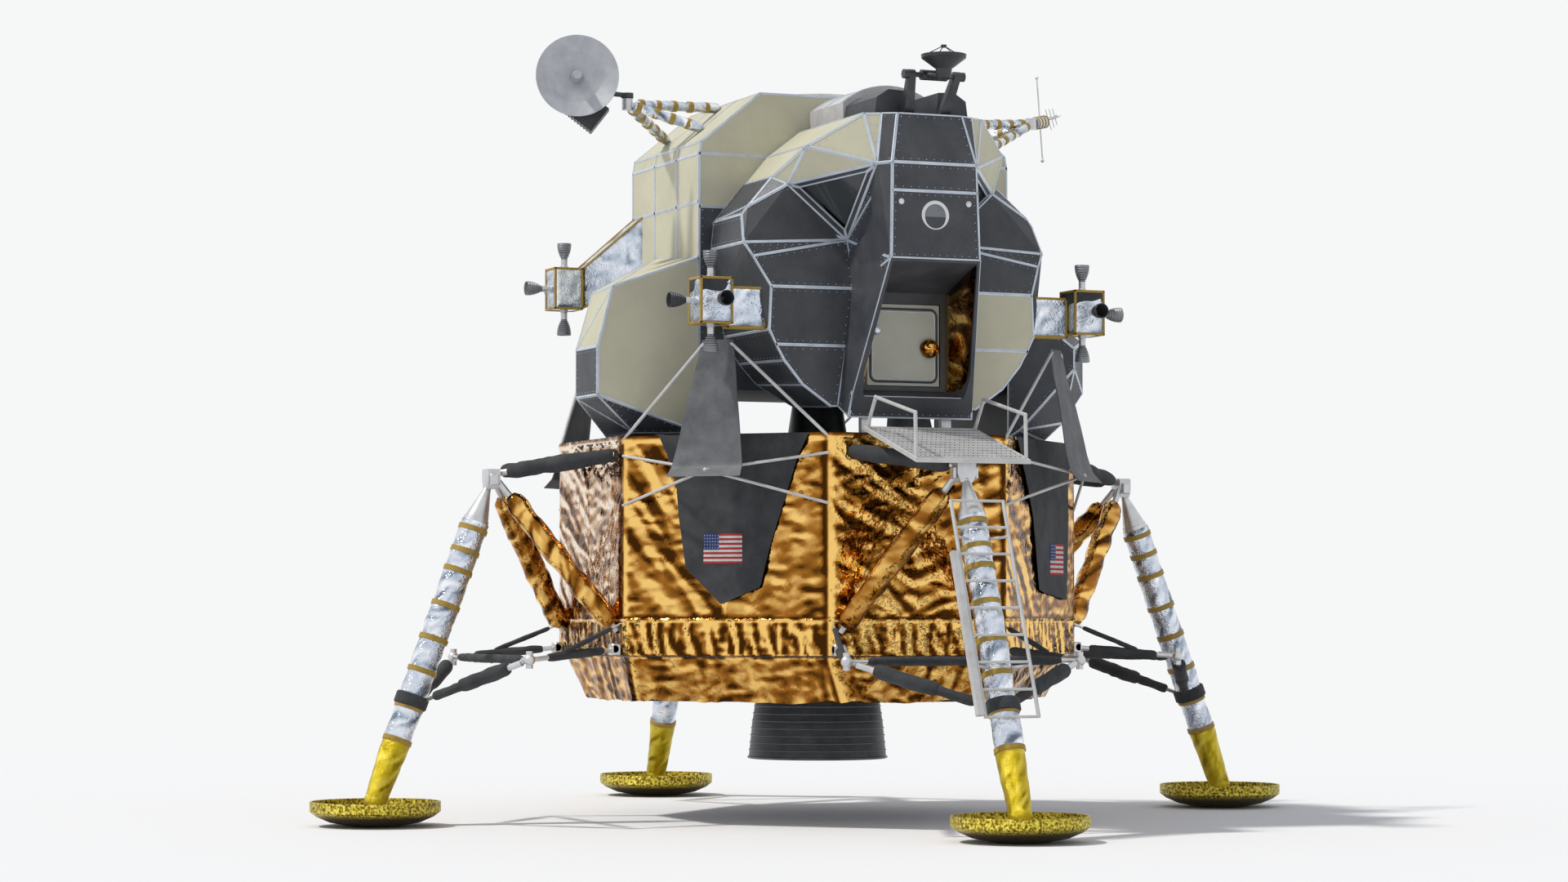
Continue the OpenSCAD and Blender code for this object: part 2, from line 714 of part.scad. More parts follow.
// The bays' corners, each as distance outboard of the midsection, fore-and-aft place, height above the deck.
STARBOARD_BAY = [[0, -870, 1581], [803, -870, 1305], [940, -870, 777], [940, -870, 355], [500, -600, bay_rise],
    [0, -870, bay_rise], [0, 193, 1662], [800, -350, 1285], [940, -320, 777], [940, -320, 355],
    [0, 760, 1225], [650, 300, 925], [600, 250, 275], [0, 700, bay_rise], [430, 300, bay_rise]];
PORT_BAY = [[0, -870, 1375], [680, -870, 881], [680, -870, 692], [950, -500, 965], [950, -500, 495],
    [703, -600, 216], [500, -600, bay_rise], [128, -870, 124], [0, -870, bay_rise], [0, 700, 1375],
    [750, 350, 955], [750, 350, 495], [430, 320, bay_rise], [0, 700, bay_rise]];

module tank_bay(points, side) {
    color(side < 0 ? "beige" : "dimgray") mirror([side < 0 ? 1 : 0, 0, 0])
        solid_of([for (p = points) [mid_half + seat + p[0], p[1], deck_z + p[2]]]);
}

module tank_bay_port() { tank_bay(PORT_BAY, 1); }
module tank_bay_starboard() { tank_bay(STARBOARD_BAY, -1); }

module aft_bay() {
    color("tan") solid_of(both([[1250, mid_back + seat, deck_z + 560], [1250, mid_back + seat, deck_z + 2550],
        [1050, mid_back + 800, deck_z + 640], [1050, mid_back + 800, deck_z + 2380],
        [900, mid_back + seat, deck_z + 2700], [760, mid_back + 700, deck_z + 2560]]));
}

// ---------------------------------------------------------------- docking tunnel

tunnel_low = deck_z + mid_roof - 137;
tunnel_top = deck_z + mid_roof + tunnel_rise;
lid_t = 40;
lid_z = tunnel_low - door_gap - lid_t;
lid_hinge_y = tunnel_d / 2 + 72;
lid_hinge_z = lid_z + lid_t / 2;

module docking_tunnel() {
    roof_z = deck_z + mid_roof;
    color("silver") difference() {
        union() {
            translate([0, 0, tunnel_low]) cylinder(d = tunnel_d + 108, h = tunnel_top - tunnel_low, $fn = 96);
            translate([0, 0, roof_z + seat]) cylinder(d = tunnel_d + 220, h = 26, $fn = 96);
            for (side = [-1, 1]) block([side * 130 - 15, tunnel_d / 2 + 20, lid_hinge_z - 20],
                [side * 130 + 15, lid_hinge_y + 18, roof_z - wall_t - seat]);
        }
        translate([0, 0, lid_z - 40]) cylinder(d = tunnel_d, h = far, $fn = 96);
        translate([0, 0, lid_z - 10]) cylinder(d = tunnel_d + 98, h = lid_t + 10 + door_gap, $fn = 96);
        translate([-200, lid_hinge_y, lid_hinge_z]) rotate([0, 90, 0])
            cylinder(d = hinge_pin_d + 2 * pin_gap, h = 400);
    }
}

module overhead_hatch() {
    color("silver") {
        translate([0, 0, lid_z]) cylinder(d = tunnel_d + 68, h = lid_t, $fn = 96);
        block([-100, tunnel_d / 2, lid_hinge_z - 14], [100, lid_hinge_y, lid_hinge_z + 14]);
        translate([-100, lid_hinge_y, lid_hinge_z]) rotate([0, 90, 0]) cylinder(d = 30, h = 200);
        translate([-148, lid_hinge_y, lid_hinge_z]) rotate([0, 90, 0]) cylinder(d = hinge_pin_d, h = 296);
    }
}

// ---------------------------------------------------------------- roof and radar

cabin_roof_z = deck_z + roof_rise;

module roof_fairing() {
    half = 450;
    color("gainsboro") translate([0, mid_front - seat, cabin_roof_z + seat]) rotate([90, 0, 0]) linear_extrude(760)
        intersection() {
            translate([-half, 0]) square([2 * half, 400]);
            translate([0, -350]) circle(r = 700, $fn = 128);
        }
}

module radar_fairings() {
    back_y = mid_front - 760 - 2 * seat;
    color("black") for (side = [-1, 1]) translate([0, back_y, cabin_roof_z + seat]) rotate([90, 0, 0])
        linear_extrude(650) polygon([for (p = [[140, 0], [160, 215], [310, 222], [420, 150], [440, 0]])
            [side * p[0], p[1]]]);
}

axle_y = -2530;
axle_z = cabin_roof_z + 322;
axle_d = 44;

module radar_mount() {
    color("black") difference() {
        for (side = [-1, 1]) hull() {
            block([side * 170 - 45, -2400, cabin_roof_z + seat], [side * 170 + 45, -2310, cabin_roof_z + 10]);
            translate([side * 211 - 28, axle_y, axle_z]) rotate([0, 90, 0]) cylinder(d = 84, h = 56, $fn = 32);
        }
        translate([-300, axle_y, axle_z]) rotate([0, 90, 0]) cylinder(d = axle_d + 2 * pin_gap, h = 600);
    }
}

module radar_antenna() {
    centre = [0, -2734, cabin_roof_z + 472];
    color("black") {
        translate(centre) rotate_extrude() polygon([[0, -202], [62, -202], [70, -120], [radar_d / 2 - 4, -30],
            [radar_d / 2, 0], [radar_d / 2 - 12, 0], [radar_d / 2 - 20, -24], [60, -90], [0, -96]]);
        translate([-265, axle_y, axle_z]) rotate([0, 90, 0]) cylinder(d = axle_d, h = 530);
        translate([-120, axle_y, axle_z]) rotate([0, 90, 0]) cylinder(d = 90, h = 240);
        for (side = [-1, 1]) {
            translate([side * 262 - 23, axle_y, axle_z]) rotate([0, 90, 0]) cylinder(d = 80, h = 46);
            rod([side * 70, axle_y, axle_z], [side * 36, centre.y, axle_z - 40], 50);
        }
        for (turn = [0:90:270]) rod(centre + [0.46 * radar_d * cos(turn), 0.46 * radar_d * sin(turn), -12],
            centre + [0, 0, 78], 8);
        translate(centre + [0, 0, 62]) cylinder(d = 50, h = 22);
    }
}

// ---------------------------------------------------------------- thruster quads

module thruster(len = 230) {
    difference() {
        union() {
            cylinder(d = 64, h = 0.34 * len);
            translate([0, 0, 0.34 * len - 1]) cylinder(d1 = 52, d2 = 132, h = 0.66 * len + 1);
        }
        translate([0, 0, 0.5 * len]) cylinder(d1 = 34, d2 = 116, h = 0.5 * len + 0.1);
    }
}

front_quad = [1768, -1836, deck_z + 1115];
back_quad = [2000, 1280, deck_z + 1455];

module thruster_set(at, half, tall, aft) {
    translate(at + [0, 0, tall / 2]) thruster();
    translate(at - [0, 0, tall / 2]) mirror([0, 0, 1]) thruster();
    translate(at + [half, 0, 0]) rotate([0, 90, 0]) thruster();
    translate(at + [0, aft * half, 0]) rotate([aft > 0 ? -90 : 90, 0, 0]) thruster();
}

module rcs_quad_front(side) {
    half = 150;
    tall = 400;
    color("silver") mirror([side < 0 ? 1 : 0, 0, 0]) {
        block(front_quad - [half, half, tall / 2], front_quad + [half, half, tall / 2]);
        thruster_set(front_quad, half, tall, -1);
        difference() {
            block([cab(1150, 0, 0).x, front_quad.y - 10, deck_z + 890],
                [front_quad.x - half + 1, front_quad.y + 120, deck_z + 1250]);
            cabin_hull_cheeks();
        }
    }
}

module rcs_quad_back(side) {
    half = 140;
    tall = 390;
    color("silver") mirror([side < 0 ? 1 : 0, 0, 0]) {
        block(back_quad - [half, half, tall / 2], back_quad + [half, half, tall / 2]);
        thruster_set(back_quad, half, tall, 1);
        hull() {
            block([mid_half + seat, mid_back - 260, deck_z + 1450], [mid_half + 3, mid_back - 40, deck_z + 2070]);
            block(back_quad - [half, 90, 0.45 * tall], back_quad + [-half + 4, 90, 0.45 * tall]);
        }
    }
}

// ---------------------------------------------------------------- steerable dish

boom_tip = [-1951, -270, deck_z + 2982];
yoke_z = boom_tip.z + 62;
// Where the three boom tubes meet the midsection's sloping shoulder.
BOOM_FEET = [[-971, -64, 3023], [-1264, -387, 2783], [-1305, 408, 2750]];

module boom(feet, tip, d) {
    difference() {
        union() {
            for (f = feet) {
                root = [f[0], f[1], deck_z + f[2]];
                sleeved_rod(between(root, tip, -0.1), tip, 40, d, 0.12, 0.9);
            }
            translate(tip) sphere(d = 1.5 * d);
        }
        mid_prism(mid_front - 1, mid_back + 1, -seat);
    }
}

module dish_boom() {
    color("silver") difference() {
        union() {
            boom(BOOM_FEET, boom_tip, 90);
            translate(boom_tip) cylinder(d = 96, h = 50);
        }
        translate(boom_tip + [0, 0, -40]) cylinder(d = 40 + 2 * pin_gap, h = 200);
        block(boom_tip + [-100, -100, 50], boom_tip + [100, 100, 200]);
    }
}

dish_at = [-2487, -450, deck_z + 3162];
dish_turn = 17;
dish_up = 4;
pivot_back = 150;

// Places children at the dish's pivot, with Y pointing back along its axis.
module at_dish_pivot() {
    translate(dish_pivot) rotate([0, 0, -dish_turn]) children();
}

dish_pivot = dish_at + pivot_back * [sin(dish_turn), cos(dish_turn), 0];

module dish_yoke() {
    color("black") difference() {
        union() {
            translate(boom_tip + [0, 0, -38]) cylinder(d = 40, h = 130);
            translate([boom_tip.x, boom_tip.y, yoke_z - 6]) cylinder(d = 110, h = 44);
            rod([boom_tip.x, boom_tip.y, yoke_z + 18], dish_pivot + [60, 10, -78], 44);
            at_dish_pivot() {
                for (side = [-1, 1]) block([side * 66 - 14, -34, -60], [side * 66 + 14, 34, 34]);
                block([-80, -34, -88], [80, 34, -60]);
                block([40, -28, -200], [120, 110, -70]);
            }
            translate(dish_pivot + [150, 110, -230]) rotate([0, 38, -20])
                block([-150, -100, -150], [150, 100, 110]);
        }
        at_dish_pivot() translate([-100, 0, 0]) rotate([0, 90, 0]) cylinder(d = 30 + 2 * pin_gap, h = 200);
    }
}

module dish_antenna() {
    deep = 90;
    color("lightgray") at_dish_pivot() {
        translate([-84, 0, 0]) rotate([0, 90, 0]) cylinder(d = 30, h = 168);
        rotate([90, 0, 0]) cylinder(d = 60, h = pivot_back);
        rotate([90 - dish_up, 0, 0]) translate([0, 0, pivot_back - 20]) rotate_extrude($fn = 72) polygon([
            [0, 0], [70, 0], [0.3 * dish_d, 0.3 * deep], [dish_d / 2, deep], [dish_d / 2 - 3, deep + 8],
            [0.3 * dish_d, 0.3 * deep + 10], [60, 12], [40, 150], [0, 150]]);
    }
}

// ---------------------------------------------------------------- side aerial

aerial_tip = [2034, -290, deck_z + 3006];
AERIAL_FEET = [[1120, -700, 2901], [1380, -760, 2688], [1330, 260, 2729]];

module aerial_boom() {
    color("silver") boom(AERIAL_FEET, aerial_tip, 84);
}

module side_aerial() {
    axis_end = aerial_tip + [330, 120, 110];
    color("gray") difference() {
        union() {
            rod(aerial_tip + [50, 18, 10], aerial_tip + [180, 65, 40], 110);
            rod(aerial_tip + [170, 62, 38], axis_end, 22);
            rod(aerial_tip + [80, 30, 440], aerial_tip + [150, 54, -330], 14);
            translate(aerial_tip + [80, 30, 440]) sphere(d = 34);
            translate(aerial_tip + [150, 54, -330]) sphere(d = 34);
        }
        translate(aerial_tip) sphere(d = 1.5 * 84 + 2 * seat);
    }
}

// ---------------------------------------------------------------- assembly

descent_stage();
base_heat_shield();
gimbal_ring();
descent_engine();
for (l = LEGS) {
    leg(l[1]);
    foot_pad(l[1]);
    outrigger(l[1]);
    leg_truss(l[1]);
    side_struts(l[1]);
}
ladder();
porch();
handrails();
for (d = DEFLECTORS) deflector(d[1]);
side_blankets();
stage_fittings();
ascent_engine();
cabin_front();
cabin_port();
cabin_starboard();
window_panes();
forward_hatch();
hatch_hinges();
midsection();
tank_bay_port();
tank_bay_starboard();
aft_bay();
docking_tunnel();
overhead_hatch();
roof_fairing();
radar_fairings();
radar_mount();
radar_antenna();
rcs_quad_front(-1);  // rcs_quad_front_starboard
rcs_quad_front(1);  // rcs_quad_front_port
rcs_quad_back(-1);  // rcs_quad_back_starboard
rcs_quad_back(1);  // rcs_quad_back_port
dish_boom();
dish_yoke();
dish_antenna();
aerial_boom();
side_aerial();
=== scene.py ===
# %% [markdown]
# # A lunar lander, finished in cells
# The frame below is the imported model: every rigid piece is already in place, in metres, standing on z = 0
# with its ladder towards -Y. This file gives each surface its finish and adds what a drawing leaves out,
# such as crumpled film, seams and rivets. Nothing here moves or resizes a imported piece.

# %% Load the frame
import math
import bpy
import bmesh
import numpy as np
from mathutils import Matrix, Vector


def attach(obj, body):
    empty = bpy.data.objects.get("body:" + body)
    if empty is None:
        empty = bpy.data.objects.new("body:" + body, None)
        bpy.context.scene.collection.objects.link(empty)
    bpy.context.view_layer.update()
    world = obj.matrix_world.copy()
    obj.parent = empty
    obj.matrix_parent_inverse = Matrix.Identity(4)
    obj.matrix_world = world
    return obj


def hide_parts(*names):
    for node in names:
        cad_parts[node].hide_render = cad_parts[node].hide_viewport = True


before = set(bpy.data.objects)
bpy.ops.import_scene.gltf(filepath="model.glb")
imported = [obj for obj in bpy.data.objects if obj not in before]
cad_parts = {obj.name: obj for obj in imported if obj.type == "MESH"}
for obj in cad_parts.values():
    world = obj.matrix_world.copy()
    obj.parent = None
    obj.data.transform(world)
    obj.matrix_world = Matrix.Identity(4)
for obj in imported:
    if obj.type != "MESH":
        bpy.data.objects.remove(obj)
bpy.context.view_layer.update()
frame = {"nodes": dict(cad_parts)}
nodes = frame["nodes"]
print("pieces in the frame:", len(nodes))

# %% [markdown]
# ## Camera, floor and light
# The camera stands low and far away with a long lens, so the legs tower a little over it. One sun gives
# crisp shade and a plain sky fills it in. The floor fades to the backdrop's own tone far from the object,
# so no horizon shows.

# %% Camera
BEARING = math.radians(22.597)
PITCH = math.radians(2.623)
camera_data = bpy.data.cameras.new("camera")
camera_data.lens = 84.93
camera_data.sensor_width = 36.0
camera_data.clip_end = 500.0
camera = bpy.data.objects.new("camera", camera_data)
camera.location = (-13.234, -31.006, 1.864)
camera.rotation_euler = (math.radians(90) + PITCH, 0.0, -BEARING)
bpy.context.collection.objects.link(camera)
bpy.context.scene.camera = camera
bpy.context.scene.view_settings.view_transform = "Standard"


# %% Small helpers for shader nodes
def new_material(name):
    """A material, its node tree and its Principled shader."""
    material = bpy.data.materials.new(name)
    material.use_nodes = True
    return material, material.node_tree, material.node_tree.nodes["Principled BSDF"]


def add(tree, kind, **values):
    """A new shader node, with its settings and its unlinked inputs set by name."""
    node = tree.nodes.new(kind)
    for key, value in values.items():
        if hasattr(node, key):
            setattr(node, key, value)
        else:
            node.inputs[key.replace("_", " ")].default_value = value
    return node


def ramp(tree, source, *stops):
    """A colour ramp after source, from (place, colour) stops."""
    node = tree.nodes.new("ShaderNodeValToRGB")
    while len(node.color_ramp.elements) < len(stops):
        node.color_ramp.elements.new(0.5)
    for element, (place, colour) in zip(node.color_ramp.elements, stops):
        element.position = place
        element.color = (*colour, 1.0) if len(colour) == 3 else colour
    tree.links.new(source, node.inputs[0])
    return node.outputs[0]


def mix_colours(tree, factor, a, b):
    """Colour a blended to colour b by factor; each may be a socket or a plain value."""
    node = tree.nodes.new("ShaderNodeMix")
    node.data_type = "RGBA"
    for index, value in ((0, factor), (6, a), (7, b)):
        if isinstance(value, bpy.types.NodeSocket):
            tree.links.new(value, node.inputs[index])
        else:
            node.inputs[index].default_value = value if index == 0 else (*value, 1.0)
    return node.outputs[2]


# %% Floor and sky
BACKDROP = (0.925, 0.93, 0.935)
floor_material, tree, floor_shader = new_material("floor")
floor_shader.inputs["Roughness"].default_value = 0.9
floor_shader.inputs["Base Color"].default_value = (0.93, 0.935, 0.94, 1.0)
place = add(tree, "ShaderNodeTexCoord")
distance = add(tree, "ShaderNodeVectorMath", operation="LENGTH")
tree.links.new(place.outputs["Object"], distance.inputs[0])
fade = add(tree, "ShaderNodeMapRange")
fade.inputs["From Min"].default_value = 9.0
fade.inputs["From Max"].default_value = 22.0
tree.links.new(distance.outputs["Value"], fade.inputs["Value"])
backdrop = add(tree, "ShaderNodeEmission")
backdrop.inputs["Color"].default_value = (*BACKDROP, 1.0)
blend = add(tree, "ShaderNodeMixShader")
tree.links.new(fade.outputs["Result"], blend.inputs[0])
tree.links.new(floor_shader.outputs[0], blend.inputs[1])
tree.links.new(backdrop.outputs[0], blend.inputs[2])
tree.links.new(blend.outputs[0], tree.nodes["Material Output"].inputs["Surface"])
bpy.ops.mesh.primitive_circle_add(vertices=96, radius=240.0, fill_type="NGON")
floor = bpy.context.object
floor.name = "floor"
floor.data.materials.append(floor_material)

world = bpy.data.worlds.new("sky")
bpy.context.scene.world = world
world.use_nodes = True
sky = world.node_tree
background = sky.nodes["Background"]
seen = add(sky, "ShaderNodeLightPath")
either = add(sky, "ShaderNodeMath", operation="MAXIMUM")
also = add(sky, "ShaderNodeMath", operation="MAXIMUM")
sky.links.new(seen.outputs["Is Camera Ray"], either.inputs[0])
sky.links.new(seen.outputs["Is Glossy Ray"], either.inputs[1])
sky.links.new(either.outputs[0], also.inputs[0])
sky.links.new(seen.outputs["Is Transmission Ray"], also.inputs[1])
SKY_FILL = (0.40, 0.42, 0.46)
sky.links.new(mix_colours(sky, also.outputs[0], SKY_FILL, BACKDROP), background.inputs["Color"])

sun_data = bpy.data.lights.new("sun", "SUN")
sun_data.energy = 2.15
sun_data.angle = math.radians(4.0)
sun_data.color = (1.0, 0.97, 0.92)
sun = bpy.data.objects.new("sun", sun_data)
SUN_FROM = Vector((-0.62, 0.10, 1.0))
sun.rotation_euler = SUN_FROM.to_track_quat("Z", "Y").to_euler()
bpy.context.collection.objects.link(sun)

# %% [markdown]
# ## Finishes
# Three effects are shared: crumple, a folded-film height; weave, a cloth height; and grime, a slow change
# of tone. Each is a node group that is placed in every material that needs it, with its own values. Film on
# this vehicle is a metal mirror whose colour is painted dark and bright by the slope of its folds, as painted
# shade and painted reflection; the finest folds are bump.


# %% Shared effects
def effect(name, inputs, outputs):
    """An empty shader group with float inputs {name: value} and one output of each name."""
    group = bpy.data.node_groups.new(name, "ShaderNodeTree")
    for key, value in inputs.items():
        socket = group.interface.new_socket(key, in_out="INPUT", socket_type="NodeSocketFloat")
        socket.default_value = value
    for key in outputs:
        group.interface.new_socket(key, in_out="OUTPUT", socket_type="NodeSocketFloat")
    return group, group.nodes.new("NodeGroupInput"), group.nodes.new("NodeGroupOutput")


crumple, given, result = effect("crumple", {"Scale": 6.0, "Warp": 0.4}, ["Height", "Tone"])
place = add(crumple, "ShaderNodeTexCoord")
swirl = add(crumple, "ShaderNodeTexNoise", Detail=3.0)
crumple.links.new(place.outputs["Object"], swirl.inputs["Vector"])
crumple.links.new(given.outputs["Scale"], swirl.inputs["Scale"])
pull = add(crumple, "ShaderNodeVectorMath", operation="SCALE")
crumple.links.new(swirl.outputs["Color"], pull.inputs[0])
crumple.links.new(given.outputs["Warp"], pull.inputs["Scale"])
moved = add(crumple, "ShaderNodeVectorMath", operation="ADD")
crumple.links.new(place.outputs["Object"], moved.inputs[0])
crumple.links.new(pull.outputs[0], moved.inputs[1])
cells = add(crumple, "ShaderNodeTexVoronoi", feature="F1")
crumple.links.new(moved.outputs[0], cells.inputs["Vector"])
crumple.links.new(given.outputs["Scale"], cells.inputs["Scale"])
crumple.links.new(cells.outputs["Distance"], result.inputs["Height"])
crumple.links.new(swirl.outputs["Fac"], result.inputs["Tone"])

weave, given, result = effect("weave", {"Scale": 60.0}, ["Height"])
place = add(weave, "ShaderNodeTexCoord")
threads = add(weave, "ShaderNodeTexNoise", Detail=6.0, Roughness=0.7)
weave.links.new(place.outputs["Object"], threads.inputs["Vector"])
weave.links.new(given.outputs["Scale"], threads.inputs["Scale"])
weave.links.new(threads.outputs["Fac"], result.inputs["Height"])

grime, given, result = effect("grime", {"Scale": 2.0, "Low": 0.35, "High": 0.7}, ["Mask"])
place = add(grime, "ShaderNodeTexCoord")
cloud = add(grime, "ShaderNodeTexNoise", Detail=8.0, Roughness=0.62)
grime.links.new(place.outputs["Object"], cloud.inputs["Vector"])
grime.links.new(given.outputs["Scale"], cloud.inputs["Scale"])
spread = add(grime, "ShaderNodeMapRange")
grime.links.new(cloud.outputs["Fac"], spread.inputs["Value"])
grime.links.new(given.outputs["Low"], spread.inputs["From Min"])
grime.links.new(given.outputs["High"], spread.inputs["From Max"])
grime.links.new(spread.outputs["Result"], result.inputs["Mask"])


def use_effect(tree, group, **values):
    """Places an effect group in a material, with its own values."""
    node = tree.nodes.new("ShaderNodeGroup")
    node.node_tree = group
    for key, value in values.items():
        node.inputs[key].default_value = value
    return node


def bump(tree, shader, height, strength, depth):
    """Feeds a height into the shader's normal."""
    node = add(tree, "ShaderNodeBump", Strength=strength, Distance=depth)
    tree.links.new(height, node.inputs["Height"])
    tree.links.new(node.outputs[0], shader.inputs["Normal"])
    return node


# %% Film, metal, cloth and paint
def film(name, dark, middle, bright, scale, rough=0.16, depth=0.02, patch=3.0):
    """Crumpled mirror film in three tones: dark, a painted shade; middle, its own colour; bright, a painted
    highlight. The painted shade stored with the mesh from its folds chooses the tone, and fine folds are
    bump.
    """
    material, tree, shader = new_material(name)
    folds = use_effect(tree, crumple, Scale=scale, Warp=0.25)
    patches = use_effect(tree, crumple, Scale=patch, Warp=0.5)
    # The mesh's stored painted shade and highlight; random patches and crumple are added to it before the
    # ramp.
    own = add(tree, "ShaderNodeAttribute", attribute_name="fold_shade")
    total = own.outputs["Fac"]
    shares = (patches.outputs["Tone"], 0.24, -0.12), (folds.outputs["Height"], 0.20, -0.07)
    for source, share, base in shares:
        part = add(tree, "ShaderNodeMath", operation="MULTIPLY_ADD")
        part.inputs[1].default_value = share
        part.inputs[2].default_value = base
        tree.links.new(source, part.inputs[0])
        both = add(tree, "ShaderNodeMath", operation="ADD")
        tree.links.new(total, both.inputs[0])
        tree.links.new(part.outputs[0], both.inputs[1])
        total = both.outputs[0]
    tone = ramp(tree, total, (0.10, dark), (0.50, middle), (0.94, bright))
    tree.links.new(tone, shader.inputs["Base Color"])
    shader.inputs["Metallic"].default_value = 1.0
    shader.inputs["Roughness"].default_value = rough
    bump(tree, shader, folds.outputs["Height"], 0.5, depth)
    return material


def paint(name, colour, dusty, rough=0.62, scale=2.2, metallic=0.0, grain=90.0, strength=0.12):
    """A painted or bare sheet with slow dust and a fine grain."""
    material, tree, shader = new_material(name)
    dust = use_effect(tree, grime, Scale=scale, Low=0.38, High=0.72)
    tree.links.new(mix_colours(tree, dust.outputs["Mask"], colour, dusty), shader.inputs["Base Color"])
    shader.inputs["Roughness"].default_value = rough
    shader.inputs["Metallic"].default_value = metallic
    fine = use_effect(tree, weave, Scale=grain)
    bump(tree, shader, fine.outputs["Height"], strength, 0.004)
    return material


# For each film: its painted-shade colour, its own colour, its painted-highlight colour, then crumple scale,
# roughness and bump depth.
GOLD = film("gold_film", (0.050, 0.018, 0.003), (0.36, 0.140, 0.018), (0.94, 0.60, 0.18), 7.0, 0.14, 0.03)
COPPER = film("copper_film", (0.09, 0.035, 0.012), (0.50, 0.27, 0.12), (0.95, 0.80, 0.64), 7.0, 0.16, 0.03)
SILVER = film("silver_film", (0.12, 0.15, 0.20), (0.56, 0.62, 0.72), (0.96, 0.97, 1.0), 18.0, 0.17, 0.012)
YELLOW = film("yellow_film", (0.16, 0.10, 0.004), (0.56, 0.42, 0.02), (0.88, 0.74, 0.12), 40.0, 0.30, 0.010,
              34.0)
TAPE = paint("ochre_tape", (0.42, 0.27, 0.04), (0.30, 0.19, 0.03), 0.5, 14.0)
TAN = paint("tan_panel", (0.62, 0.595, 0.44), (0.54, 0.515, 0.38), 0.6)
CHARCOAL = paint("charcoal_panel", (0.032, 0.036, 0.044), (0.066, 0.07, 0.08), 0.5, 3.0)
CLOTH = paint("black_cloth", (0.028, 0.03, 0.034), (0.06, 0.063, 0.068), 0.85, 5.0, grain=160.0,
              strength=0.35)
TRIM = paint("trim_strip", (0.62, 0.68, 0.76), (0.48, 0.53, 0.60), 0.34, 8.0, metallic=0.35)
RIM = paint("bright_rim", (0.86, 0.87, 0.88), (0.74, 0.75, 0.76), 0.4, 8.0)
ALLOY = paint("bare_alloy", (0.66, 0.67, 0.69), (0.50, 0.50, 0.51), 0.36, 6.0, metallic=0.85)
PALE = paint("pale_alloy", (0.62, 0.62, 0.62), (0.48, 0.47, 0.46), 0.5, 7.0, metallic=0.2)
SOOT = paint("sooty_metal", (0.035, 0.038, 0.044), (0.07, 0.074, 0.08), 0.42, 6.0, metallic=0.4)
DISH = paint("dish_metal", (0.47, 0.49, 0.52), (0.36, 0.38, 0.41), 0.42, 9.0, metallic=0.45)
NOZZLE = paint("nozzle_grey", (0.20, 0.21, 0.225), (0.32, 0.33, 0.35), 0.42, 9.0, metallic=0.6)
SHEET = paint("scorched_sheet", (0.075, 0.08, 0.088), (0.15, 0.155, 0.165), 0.6, 4.0, metallic=0.2,
              grain=30.0, strength=0.3)
MESH = paint("bright_mesh", (0.16, 0.165, 0.17), (0.24, 0.24, 0.245), 0.5, 9.0, metallic=0.2, grain=60.0,
             strength=0.3)
PORTHOLE = paint("porthole_grey", (0.17, 0.18, 0.20), (0.22, 0.23, 0.25), 0.25, 6.0)
DOOR = paint("door_paint", (0.50, 0.51, 0.44), (0.42, 0.43, 0.37), 0.5)


def pad_finish():
    """Yellow film above about 0.1 m, over a pad's rim and upper outside, and brown below, in its bowl; only
    height tells them apart.
    """
    material, tree, shader = new_material("pad_film")
    folds = use_effect(tree, crumple, Scale=26.0, Warp=0.4)
    patches = use_effect(tree, crumple, Scale=46.0, Warp=0.8)
    yellow = ramp(tree, patches.outputs["Tone"], (0.40, (0.13, 0.085, 0.004)), (0.50, (0.50, 0.38, 0.02)),
                  (0.62, (0.86, 0.73, 0.12)))
    place = add(tree, "ShaderNodeTexCoord")
    split = add(tree, "ShaderNodeSeparateXYZ")
    tree.links.new(place.outputs["Object"], split.inputs[0])
    low = add(tree, "ShaderNodeMapRange")
    low.inputs["From Min"].default_value = 0.085
    low.inputs["From Max"].default_value = 0.115
    tree.links.new(split.outputs["Z"], low.inputs["Value"])
    tone = mix_colours(tree, low.outputs["Result"], (0.11, 0.082, 0.03), yellow)
    tree.links.new(tone, shader.inputs["Base Color"])
    shader.inputs["Metallic"].default_value = 0.7
    shader.inputs["Roughness"].default_value = 0.34
    bump(tree, shader, folds.outputs["Height"], 0.6, 0.012)
    return material


PAD = pad_finish()

RED = paint("pennant_red", (0.42, 0.025, 0.03), (0.30, 0.02, 0.025), 0.8, 20.0)
WHITE = paint("pennant_white", (0.62, 0.62, 0.60), (0.50, 0.50, 0.49), 0.8, 20.0)
BLUE = paint("pennant_blue", (0.02, 0.04, 0.16), (0.03, 0.05, 0.14), 0.8, 20.0)
RING = paint("ring_metal", (0.085, 0.09, 0.10), (0.13, 0.135, 0.145), 0.35, 8.0, metallic=0.5)

glass_material, tree, shader = new_material("window_glass")
shader.inputs["Base Color"].default_value = (0.05, 0.055, 0.06, 1.0)
shader.inputs["Roughness"].default_value = 0.08
GLASS = glass_material
print("finishes made:", len(bpy.data.materials))

# %% [markdown]
# ## Making meshes by rule
# Most of this vehicle's skin is thin film laid over a stiff body. It could be sculpted or simulated, but a
# rule is repeatable: a grid of points is laid on the body, and a field of small flat facets pushes each
# point out a few millimetres. The slope of the field is stored with the mesh as painted shade, so that the
# finish is painted dark where a facet tilts away from one fixed side and bright where it tilts towards it,
# as painted shade and painted reflection stand in for a crumpled mirror's lit folds.


# %% Rotation, facets and grids
TURNS = {"front": 0, "starboard": -90, "back": 180, "port": 90}


def turned(points, turn):
    """Points turned about the vertical axis by turn degrees."""
    a = math.radians(turn)
    c, s = math.cos(a), math.sin(a)
    return np.asarray(points, float) @ np.array([[c, -s, 0], [s, c, 0], [0, 0, 1]]).T


